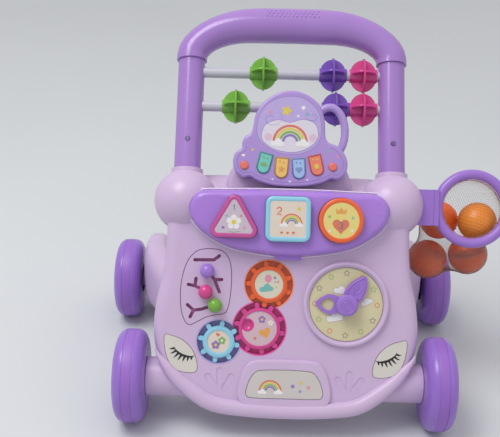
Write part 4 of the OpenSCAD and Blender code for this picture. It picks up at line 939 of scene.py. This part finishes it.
# A golden spiral spaces the pimples evenly over a ball
golden_turn = math.pi * (3 - math.sqrt(5))
pimple_count = 400
pimples = KDTree(pimple_count)
for i in range(pimple_count):
    height = 1 - (2 * i + 1) / pimple_count
    reach = math.sqrt(1 - height * height)
    pimples.insert((reach * math.cos(golden_turn * i), reach * math.sin(golden_turn * i), height), i)
pimples.balance()
one_ball = bmesh.new()
bmesh.ops.create_icosphere(one_ball, subdivisions=5, radius=1)
raised = one_ball.verts.layers.float.new("pimple")
for corner in one_ball.verts:
    gap = pimples.find(corner.co)[2] * ball_radius
    corner[raised] = math.exp(-((gap / pimple_reach) ** 2))
    corner.co *= ball_radius - pimple_height * (1 - corner[raised])
skin = bpy.data.meshes.new("one_ball")
one_ball.to_mesh(skin)
one_ball.free()
shape = bmesh.new()
for i, spot in enumerate(ball_spots):
    before, skins = len(shape.verts), len(shape.faces)
    shape.from_mesh(skin)
    shape.verts.ensure_lookup_table()
    shape.faces.ensure_lookup_table()
    for face in shape.faces[skins:]:
        # The top ball is lit orange; the other three take the painted shade
        face.material_index = 0 if spot == ball_spots[-1] else 1
    bmesh.ops.transform(shape, verts=shape.verts[before:],
                        matrix=Matrix.Translation(spot) @ Matrix.Rotation(0.9 + 1.3 * i, 4, (1, 2, i)))
bpy.data.meshes.remove(skin)
set_piece("pimpled_balls", shape, [ball_orange, ball_in_shade], "ball_hoop",
          ("play_balls",), crease=60)

# ---- Net ----
# A bag knitted in fine translucent nylon monofilament, diamond mesh about 3 mm wide. It hangs from
# the hoop by a scalloped hem, and the balls weigh two lobes into its foot. The cord is painted a
# dusky pinkish tan, a painted glow and shade for the balls' orange light through it and the shade
# inside the bag.
cord = bpy.data.materials.new("nylon_monofilament_painted_glow_and_shade")
cord.use_nodes = True
tree = cord.node_tree
where = add_node(tree, "ShaderNodeTexCoord").outputs["Object"]
twist = add_node(tree, "ShaderNodeTexWave", {"Vector": where, "Scale": 400.0, "Distortion": 3.0},
                 bands_direction="DIAGONAL")
thread = add_node(tree, "ShaderNodeMix", {"Factor": twist.outputs["Fac"]}, data_type="RGBA")
# Painted glow and shade: the cord's pinkish tan stands for the balls' orange light through it and the
# shade in the bag
thread.inputs["A"].default_value = ink("B08C88")
thread.inputs["B"].default_value = ink("C4A29E")
fibre = tree.nodes["Principled BSDF"]
tree.links.new(thread.outputs["Result"], fibre.inputs["Base Color"])
fibre.inputs["Roughness"].default_value = 0.7
fibre.inputs["Alpha"].default_value = 0.26
# Each station: the middle of an oval, mm from the mouth's, its lean in degrees, and its half width
# and half depth in mm
stations = [((0, 2, -1), 65, 36, 36), ((1, 10, -5), 62, 41, 40.5), ((-2, 24, -23), 45, 51, 50),
            ((-8, 28.5, -39), 25, 56, 50), ((-16, 26, -58), 8, 57.5, 43),
            ((-18.5, 23, -80), 3, 58, 33), ((-21, 23, -97), 0, 50, 29.5), ((-25, 23, -107), 0, 36, 20),
            ((-27, 23, -110), 0, 17, 9), ((-28, 23, -110.5), 0, 3, 2)]
rows_between = (4, 9, 7, 7, 8, 6, 6, 6, 5)
meshes_round = 96


def net_row(at):
    """The row at a fractional station: a leaning oval as a 4 x 4 matrix for a unit circle."""
    first = min(int(at), len(stations) - 2)
    share = at - first
    (spot, lean, wide, skirt_shade), (spot_2, lean_2, wide_2, deep_2) = stations[first : first + 2]
    middle = mouth + Vector(spot).lerp(Vector(spot_2), share) / 1000
    turn = Matrix.Rotation(math.radians(lean + (lean_2 - lean) * share), 4, "X")
    size = ((wide + (wide_2 - wide) * share) / 1000, (skirt_shade + (deep_2 - skirt_shade) * share) / 1000, 1, 1)
    return Matrix.Translation(middle) @ turn @ Matrix.Diagonal(size)


shape = bmesh.new()
levels = [first + i / count for first, count in enumerate(rows_between) for i in range(count)]
rows = []
for at in levels + [len(stations) - 1]:
    rows.append(add_ring(shape, meshes_round, net_row(at)))
rim = {corner for edge in rows[0] for corner in edge.verts}
for a, b in zip(rows, rows[1:]):
    bmesh.ops.bridge_loops(shape, edges=a + b)
bmesh.ops.edgeloop_fill(shape, edges=rows[-1])
# The knitting settles: it evens itself out, sinks towards the two lowest balls, which weigh on it,
# and is pushed off every ball
hanging = [corner for corner in shape.verts if corner not in rim]
settling_steps, sinking_steps = 80, 50
hem_depth = 0.03
ball_clearance = 0.0006
for step in range(settling_steps):
    bmesh.ops.smooth_vert(shape, verts=hanging, factor=0.5, use_axis_x=True, use_axis_y=True,
                          use_axis_z=True)
    for corner in hanging:
        depth = mouth.z - hem_depth - corner.co.z
        if step < sinking_steps and depth > 0:
            nearest = min(ball_spots[:2], key=lambda spot: (corner.co - spot).length)
            corner.co += (nearest - corner.co) * min(depth / hem_depth, 1) * 0.02
        for spot in ball_spots:
            push = corner.co - spot
            if push.length < ball_radius + ball_clearance:
                corner.co = spot + push.normalized() * (ball_radius + ball_clearance)
# The wireframe draws the diagonals of the grid's squares, so the mesh shows as diamonds
knots = shape.edges[:]
cut_area = sum(face.calc_area() for face in shape.faces)
bmesh.ops.poke(shape, faces=shape.faces[:])
bmesh.ops.dissolve_edges(shape, edges=[edge for edge in knots if len(edge.link_faces) == 2],
                         use_verts=False)
net = set_piece("net_bag", shape, [cord], "ball_hoop", ("hoop_net",), crease=180)
strands = net.modifiers.new("strands", "WIREFRAME")
strands.thickness = 0.00055
strands.use_even_offset = True
strands.use_boundary = True

shape = bmesh.new()
scallops, steps = 26, 8
hem_radius, hem_level, hem_dip, cord_radius = 35.7, 1.5, 2.2, 0.55
path = []
for i in range(scallops * steps):
    turn = 2 * math.pi * i / (scallops * steps)
    dip = hem_dip * abs(math.sin(scallops * turn / 2))
    path.append(Vector((hem_radius * math.cos(turn), hem_radius * math.sin(turn), hem_level - dip)))
rings = []
for i, spot in enumerate(path):
    run = path[(i + 1) % len(path)] - path[i - 1]
    spin = run.to_track_quat("Z", "Y").to_matrix().to_4x4()
    thickness = Matrix.Diagonal((cord_radius, cord_radius, 1, 1))
    rings.append(add_ring(shape, 6, Matrix.Translation(spot) @ spin @ thickness))
for a, b in zip(rings, rings[1:] + rings[:1]):
    bmesh.ops.bridge_loops(shape, edges=a + b)
shape.transform(on_face @ Matrix.Translation(hoop_middle))
bmesh.ops.recalc_face_normals(shape, faces=shape.faces)
hem = set_piece("net_hem", shape, [cord], "ball_hoop", crease=80)
